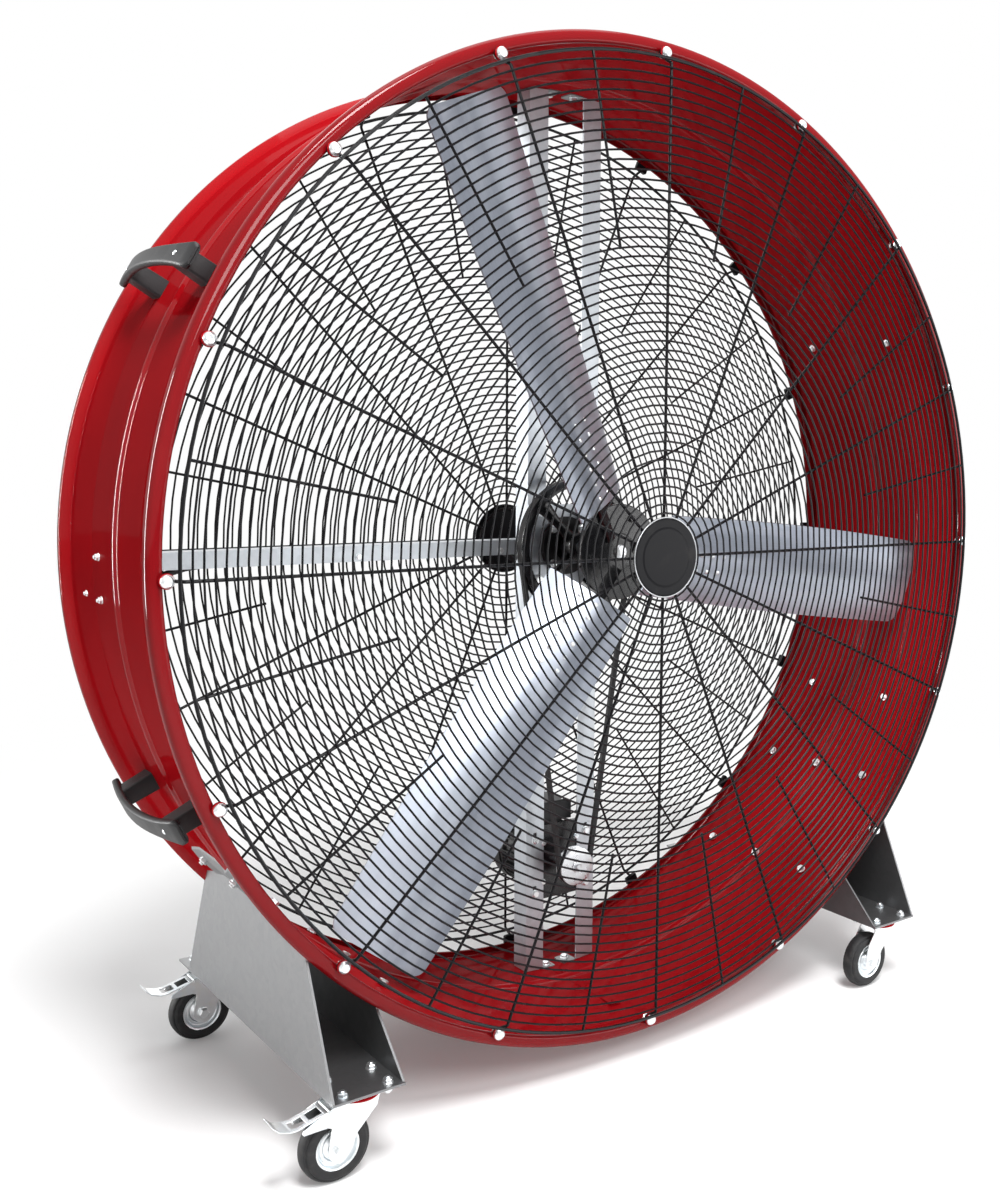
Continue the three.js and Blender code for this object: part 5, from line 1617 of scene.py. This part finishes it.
@dataclass
class Handle(Assembly):
    """A moulded bridge handle: a bowed bar with wide ends on two square feet."""

    drum: Drum
    length: float = 0.324
    spacing: float = 0.236
    width: float = 0.032
    thickness: float = 0.013
    end_height: float = 0.040
    bow: float = 0.022
    foot: float = 0.038

    def height(self, y: float) -> float:
        """The bar's underside above the wall."""
        return self.end_height + self.bow * (1 - (2 * y / self.length) ** 2)

    def skin(self) -> Skin:
        """The handle, with X pointing away from the wall.

        Returns:
            Its skin.
        """
        skin = Skin()
        rows, steps = [], 36
        for i in range(steps + 1):
            y = self.length * (i / steps - 0.5)
            share = abs(2 * y / self.length)
            wide = self.width * (1 + 0.5 * share**3)
            tuck = 1.0 - 0.35 * max(0.0, (share - 0.97) / 0.03)
            section = loop(box_outline(self.thickness * tuck, wide * tuck), 0.0048, 3)
            base = self.drum.wall + self.height(y) + self.thickness / 2
            rows.append([Vector((base + u, y, v)) for u, v in section])
        skin.grid(rows)
        for end in (-1, 1):
            centre = end * self.spacing / 2
            top = self.drum.wall + self.height(centre) + self.thickness / 2
            rows = []
            for t in (0.0, 0.25, 0.5, 0.75, 1.0):
                x = self.drum.wall - 0.0012 + (top - self.drum.wall) * t
                size = self.foot * (1.06 - 0.12 * t)
                shape = loop(box_outline(size, self.width * (1.04 - 0.06 * t)), 0.004, 3)
                rows.append([Vector((x, centre + u, v)) for u, v in shape])
            skin.grid(rows)
        return skin

    def build(self) -> None:
        """Makes the four handles and the bolts inside the drum."""
        first: bpy.types.Object | None = None
        heads = Skin()
        crown = self.drum.wall + self.height(self.spacing / 2) + self.thickness - 0.0006
        for name, angle in HANDLE_ANGLES.items():
            turn = about_y(-angle)
            place, node = ON_AXIS @ turn, [f"handle_{name}"]
            if first is None:
                first = self.shop.piece(f"grip_{name}", self.skin(), Slot.HANDLE_PLASTIC,
                                        "frame", place, node)
            else:
                self.shop.copy(f"grip_{name}", first, "frame", place, node)
            for y in (-self.spacing / 2, self.spacing / 2):
                inner = (self.drum.wall - self.drum.sheet, y, 0)
                heads.bolt(turn @ facing(inner, (-1, 0, 0)), 0.008)
                heads.dome(turn @ facing((crown, y, 0), (1, 0, 0)), 0.0045, 0.0022)
        self.shop.piece("handle_bolts", heads, Slot.ZINC, "frame", ON_AXIS)


# ------------------------------------------------------------------ castors
@dataclass
class Castor(Assembly):
    """A swivel castor about its swivel axis, with the wheel trailing towards -X."""

    name: str
    x: float
    y: float
    braked: bool
    height: float = 0.148
    trail: float = 0.042
    radius: float = 0.060
    width: float = 0.034
    leg_gap: float = 0.0205
    leg_sheet: float = 0.0025
    fork_top: float = 0.1339
    pivot_x: float = -0.056
    pivot_z: float = 0.127
    toe_x: float = -0.152
    pedal_half: float = 0.0198
    pedal_sheet: float = 0.0022
    window_half: float = 0.0115

    def build(self) -> None:
        """Makes the castor's pieces on their bodies."""
        place = shift(self.x, self.y, 0)
        self.build_plate(place)
        self.build_fork(place)
        self.build_wheel(place)
        if self.braked:
            self.build_pedal(place)

    def build_plate(self, place: Matrix) -> None:
        """The top plate, its race and its nuts.

        Args:
            place: The castor's frame.
        """
        plate, race, dust = Skin(), Skin(), Skin()
        top = self.height - 0.0003
        plate.prism(loop(box_outline(0.105, 0.085), 0.008), 0.0035,
                    shift(0, 0, top - 0.0035))
        line = rounded([(0.004, top - 0.003), (0.0338, top - 0.003), (0.0338, top - 0.007),
                        (0.031, top - 0.0135), (0.004, top - 0.0135)],
                       (0, 0.002, 0.002, 0.002, 0), 3)
        race.lathe(line, Matrix(), 48)
        for x, y in box_outline(*CASTOR_BOLTS):
            race.bolt(facing((x, y, top - 0.0035), (0, 0, -1), 9.0), 0.008, 0.003)
        dust.lathe(rounded([(0.032, top - 0.0128), (0.0370, top - 0.0128), (0.0370, top - 0.0092),
                            (0.032, top - 0.0092)], (0, 0.001, 0.001, 0), 2), Matrix(), 48, True)
        node = f"{self.name}_castor_plate"
        self.shop.piece(f"{self.name}_top_plate", plate, Slot.ZINC, "frame", place, [node], 0.0006)
        self.shop.piece(f"{self.name}_race", race, Slot.ZINC, "frame", place)
        self.shop.piece(f"{self.name}_dust_ring", dust, Slot.RED_PAINT, "frame", place)

    def leg_outline(self) -> list[Pair]:
        """One fork leg from the side.

        Returns:
            (x, z) pairs.
        """
        bottom = arc(0.020, -20.0, -170.0, 12, (-self.trail, self.radius))
        line = [(0.030, self.fork_top), (0.025, 0.116), (-0.010, 0.080)]
        line += bottom
        if self.braked:
            line += [(-0.055, 0.100), (-0.062, 0.1030), (-0.102, 0.1028), (-0.1045, 0.1062),
                     (-0.102, 0.1110), (-0.068, 0.1270), (-0.052, self.fork_top)]
        else:
            line += [(-0.053, 0.100), (-0.040, 0.118), (-0.030, self.fork_top)]
        return line

    def build_fork(self, place: Matrix) -> None:
        """The pressed fork and its axle.

        Args:
            place: The castor's frame.
        """
        fork, axle = Skin(), Skin()
        outline = self.leg_outline()
        for side in (-1, 1):
            y = self.leg_gap if side > 0 else -self.leg_gap - self.leg_sheet
            fork.prism(outline, self.leg_sheet, upright(y))
            boss = facing((-self.trail, side * (self.leg_gap + self.leg_sheet), self.radius),
                          (0, side, 0))
            axle.bolt(boss, 0.011, 0.0 if side < 0 else 0.003)
        wide = 2 * (self.leg_gap + self.leg_sheet)
        crown = loop(box_outline(0.060, wide), 0.006)
        fork.prism(crown, 0.003, shift(0, 0, self.fork_top - 0.0029))
        under = facing((0, 0, self.fork_top - 0.0028), (0, 0, -1))
        axle.bolt(under, 0.010)
        axle.lathe([(0.006, -0.0215), (0.006, 0.0215)],
                   shift(-self.trail, 0, self.radius) @ AROUND_Y, 20)
        body = f"{self.name}_swivel"
        self.shop.piece(f"{self.name}_fork_pressing", fork, Slot.ZINC, body, place,
                        [f"{self.name}_castor_fork"], 0.0006)
        self.shop.piece(f"{self.name}_axle_bolt", axle, Slot.ZINC, body, place,
                        [f"{self.name}_castor_axle"])

    def build_wheel(self, place: Matrix) -> None:
        """The pressed rim and the grooved tyre.

        Args:
            place: The castor's frame.
        """
        rim, tyre = Skin(), Skin()
        half = self.width / 2
        centre = place @ shift(-self.trail, 0, self.radius)
        side = [(0.0068, half + 0.0013), (0.0138, half + 0.0013), (0.0150, half - 0.006),
                (0.0225, half - 0.0095), (0.0240, half - 0.006), (0.0285, half - 0.006),
                (0.0300, half - 0.0095), (0.0325, half - 0.008), (0.0345, half - 0.0022),
                (0.0376, half - 0.0012)]
        smooth = rounded(side, (0, *[0.001] * 8, 0), 2)
        rim.lathe(smooth + [(r, -y) for r, y in reversed(smooth)], AROUND_Y, 64, closed=True)
        tread = [(0.0379, half - 0.001), (0.0398, half), (0.0495, half), (0.0528, half - 0.0022),
                 (0.0534, half - 0.0046), (0.0549, half - 0.0046), (0.0572, half - 0.0054),
                 (0.0600, half - 0.0115)]
        shape = rounded(tread, (0, 0.001, 0.002, 0.0006, 0.0006, 0.0006, 0.003, 0), 3)
        back = [(r, -y) for r, y in reversed(shape)]
        tyre.lathe([*shape, (self.radius, 0.0), *back], AROUND_Y, 72, closed=True)
        body = f"{self.name}_wheel"
        self.shop.piece(f"{self.name}_rim_disc", rim, Slot.ZINC, body, centre,
                        [f"{self.name}_wheel_rim"])
        self.shop.piece(f"{self.name}_tyre_ring", tyre, Slot.TYRE_RUBBER, body, centre,
                        [f"{self.name}_tyre"])

    def build_pedal(self, place: Matrix) -> None:
        """The foot pedal with two windows, an upturned toe and its pin.

        Args:
            place: The castor's frame.
        """
        pedal = Skin()
        px, pz, half, sheet = self.pivot_x, self.pivot_z, self.pedal_half, self.pedal_sheet
        line = rounded([(px + 0.008, pz + 0.004), (px - 0.054, pz - 0.0120),
                        (px - 0.066, pz - 0.0120), (self.toe_x + 0.012, pz - 0.0062),
                        (self.toe_x + 0.001, pz + 0.0040)], (0, 0.01, 0.01, 0.007, 0), 4)
        path = [Vector((x, 0, z)) for x, z in line]
        windows = [(px - 0.010, px - 0.032), (px - 0.038, px - 0.062)]
        solid = [(px + 0.008, windows[0][0]), (windows[0][1], windows[1][0]),
                 (windows[1][1], self.toe_x + 0.001)]
        for reach in solid:
            self.add_strip(pedal, path, reach, (-half, half))
        for reach in windows:
            self.add_strip(pedal, path, reach, (-half, -self.window_half))
            self.add_strip(pedal, path, reach, (self.window_half, half))
        for side in (-1, 1):
            y = side * half if side < 0 else half - sheet
            lug = [(px - 0.007, pz - 0.006), (px + 0.006, pz - 0.006), (px + 0.0075, pz + 0.003),
                   (px - 0.007, pz + 0.0005)]
            pedal.prism(lug, sheet, upright(y))
        pin = shift(px, 0, pz) @ AROUND_Y
        pedal.lathe([(0.0035, -0.0245), (0.0035, 0.0245)], pin, 20)
        self.shop.piece(f"{self.name}_pedal_pressing", pedal, Slot.ZINC, f"{self.name}_pedal",
                        place, [f"{self.name}_brake_pedal"], 0.0004)

    def add_strip(
        self, pedal: Skin, path: Sequence[Vector], reach: Pair, sides: Pair
    ) -> None:
        """Adds a part of the pedal's pressing.

        Args:
            pedal: Where it is added.
            path: The pressing's line, which runs towards -X.
            reach: The x that the part starts at, and the x that it ends at.
            sides: Its lowest and highest y.
        """
        first, last = reach
        between = [p for p in path if last + 0.0008 < p.x < first - 0.0008]
        pedal.grid([
            [Vector((p.x, y, p.z + dz))
             for y, dz in ((sides[0], 0.0), (sides[1], 0.0), (sides[1], -self.pedal_sheet),
                           (sides[0], -self.pedal_sheet))]
            for p in (self.on_line(path, first), *between, self.on_line(path, last))
        ])

    @staticmethod
    def on_line(path: Sequence[Vector], x: float) -> Vector:
        """The point of a line that runs towards -X at a given x."""
        for a, b in zip(path, path[1:]):
            if b.x <= x <= a.x and a.x > b.x:
                return a.lerp(b, (a.x - x) / (a.x - b.x))
        return path[0].copy() if x > path[0].x else path[-1].copy()


# ------------------------------------------------------------------ studio
@dataclass(frozen=True)
class Lamp:
    """A soft lamp that points at the drum; one that is only reflected lights nothing matt."""

    name: str
    at: Point
    size: Pair
    power: float
    only_reflected: bool = False

    def build(self) -> None:
        """Adds the lamp to the scene."""
        light = bpy.data.lights.new(self.name, "AREA")
        light.shape = "RECTANGLE"
        light.size, light.size_y = self.size
        light.energy = self.power
        lamp = bpy.data.objects.new(self.name, light)
        bpy.context.scene.collection.objects.link(lamp)
        lamp.matrix_world = facing(self.at, Vector(self.at) - ON_AXIS.translation)
        lamp.visible_diffuse = not self.only_reflected


@dataclass
class Studio:
    """Floor, background, lamps and camera."""

    floor_size: float = 60.0
    white_from: float = 1.5
    white_to: float = 3.2
    ambient: float = 0.38
    pixels: float = 1190.0
    focal_pixels: float = 1267.9
    photo_middle: Pair = (500.0, 595.0)
    optical_middle: Pair = (640.0, 590.0)
    sensor: float = 36.0
    floor_grey: float = 0.86
    floor_glow: float = 0.12
    camera_at: Point = (-1.5082, -2.1370, 1.1864)
    camera_axes: tuple[Point, ...] = (
        (0.78466995, -0.61973782, 0.01476836),
        (0.05660354, 0.0953506, 0.99383314),
        (-0.61732415, -0.77899505, 0.10989811),
    )
    lamps: tuple[Lamp, ...] = (
        Lamp("key_lamp", (-1.2, -3.2, 7.0), (2.2, 2.2), 580.0),
        Lamp("strip_lamp", (-4.2, 3.2, 1.6), (0.45, 3.1), 330.0, only_reflected=True),
        Lamp("fill_lamp", (2.6, -3.2, 0.9), (3.0, 1.4), 60.0),
        Lamp("front_lamp", (-0.7, -2.9, 2.6), (1.2, 1.2), 60.0),
        Lamp("top_lamp", (0.4, 0.6, 5.2), (3.0, 3.0), 60.0),
        Lamp("back_lamp", (2.6, 4.8, 3.2), (5.0, 5.0), 80.0),
    )

    def build(self) -> None:
        """Sets up everything that isn't part of the fan."""
        bpy.context.scene.view_settings.view_transform = "Standard"
        self.build_floor()
        self.build_world()
        for lamp in self.lamps:
            lamp.build()
        self.build_camera()

    def build_floor(self) -> None:
        """A pale floor that turns plain white away from the fan and keeps its shadow."""
        mesh = bpy.data.meshes.new("floor")
        reach = self.floor_size / 2
        corners = [(-reach, -reach, 0), (reach, -reach, 0), (reach, reach, 0), (-reach, reach, 0)]
        mesh.from_pydata(corners, [], [(0, 1, 2, 3)])
        floor = bpy.data.objects.new("floor", mesh)
        bpy.context.scene.collection.objects.link(floor)
        material = bpy.data.materials.new("floor_paint")
        material.use_nodes = True
        graph = Graph(material.node_tree)
        length = graph.node("ShaderNodeVectorMath", {"operation": "LENGTH"}, {0: graph.place()})
        far = Signal(graph, length.outputs["Value"]).step(self.white_from, self.white_to)
        seen = graph.node("ShaderNodeLightPath").outputs["Is Camera Ray"]
        grey = (*[self.floor_grey] * 3, 1.0)
        paint = graph.node("ShaderNodeBsdfDiffuse", None, {"Color": grey})
        white = graph.node("ShaderNodeEmission", None, {"Color": (1, 1, 1, 1), "Strength": 1.0})
        share = (far * (1.0 - self.floor_glow) + self.floor_glow) * Signal(graph, seen)
        both = graph.node("ShaderNodeMixShader", None,
                          {0: share, 1: paint.outputs[0], 2: white.outputs[0]})
        graph.end(both.outputs[0])
        mesh.materials.append(material)

    def build_world(self) -> None:
        """White where it is seen or reflected, dimmer where it lights."""
        world = bpy.data.worlds.new("studio")
        bpy.context.scene.world = world
        world.use_nodes = True
        graph = Graph(world.node_tree)
        path = graph.node("ShaderNodeLightPath")
        seen = Signal(graph, path.outputs["Is Camera Ray"])
        seen = seen | Signal(graph, path.outputs["Is Glossy Ray"])
        seen = seen | Signal(graph, path.outputs["Is Transmission Ray"])
        plain = (1.0, 1.0, 1.0, 1.0)
        dim = graph.node("ShaderNodeBackground", None, {"Color": plain, "Strength": self.ambient})
        white = graph.node("ShaderNodeBackground", None, {"Color": plain, "Strength": 1.0})
        both = graph.node("ShaderNodeMixShader", None,
                          {0: seen, 1: dim.outputs[0], 2: white.outputs[0]})
        graph.end(both.outputs[0], "ShaderNodeOutputWorld")

    def build_camera(self) -> None:
        """The photograph's view."""
        lens = bpy.data.cameras.new("camera")
        lens.sensor_width = self.sensor
        lens.lens = self.focal_pixels * self.sensor / self.pixels
        lens.shift_x = (self.photo_middle[0] - self.optical_middle[0]) / self.pixels
        lens.shift_y = (self.optical_middle[1] - self.photo_middle[1]) / self.pixels
        camera = bpy.data.objects.new("camera", lens)
        bpy.context.scene.collection.objects.link(camera)
        turned = Matrix(self.camera_axes).transposed().to_4x4()
        camera.matrix_world = shift(*self.camera_at) @ turned
        bpy.context.scene.camera = camera


def main() -> None:
    """Builds the fan's looks in order."""
    logging.basicConfig(level=logging.INFO, format="%(name)s %(message)s")
    shop = Workshop(Paintbox())
    drum = Drum(shop)
    castors = [
        Castor(shop, f"{end}_{side}", x, y, braked=side == "left")
        for side, x in (("left", -CASTOR_X), ("right", CASTOR_X))
        for end, y in (("front", -CASTOR_Y), ("rear", CASTOR_Y))
    ]
    for assembly in (drum, Guard(shop), Struts(shop, drum), BearingUnit(shop),
                     Rotor(shop, Blade()), BeltDrive(shop), Motor(shop), Wiring(shop),
                     Feet(shop, drum), Handle(shop, drum), *castors, Studio()):
        assembly.build()


if __name__ == "__main__":
    main()
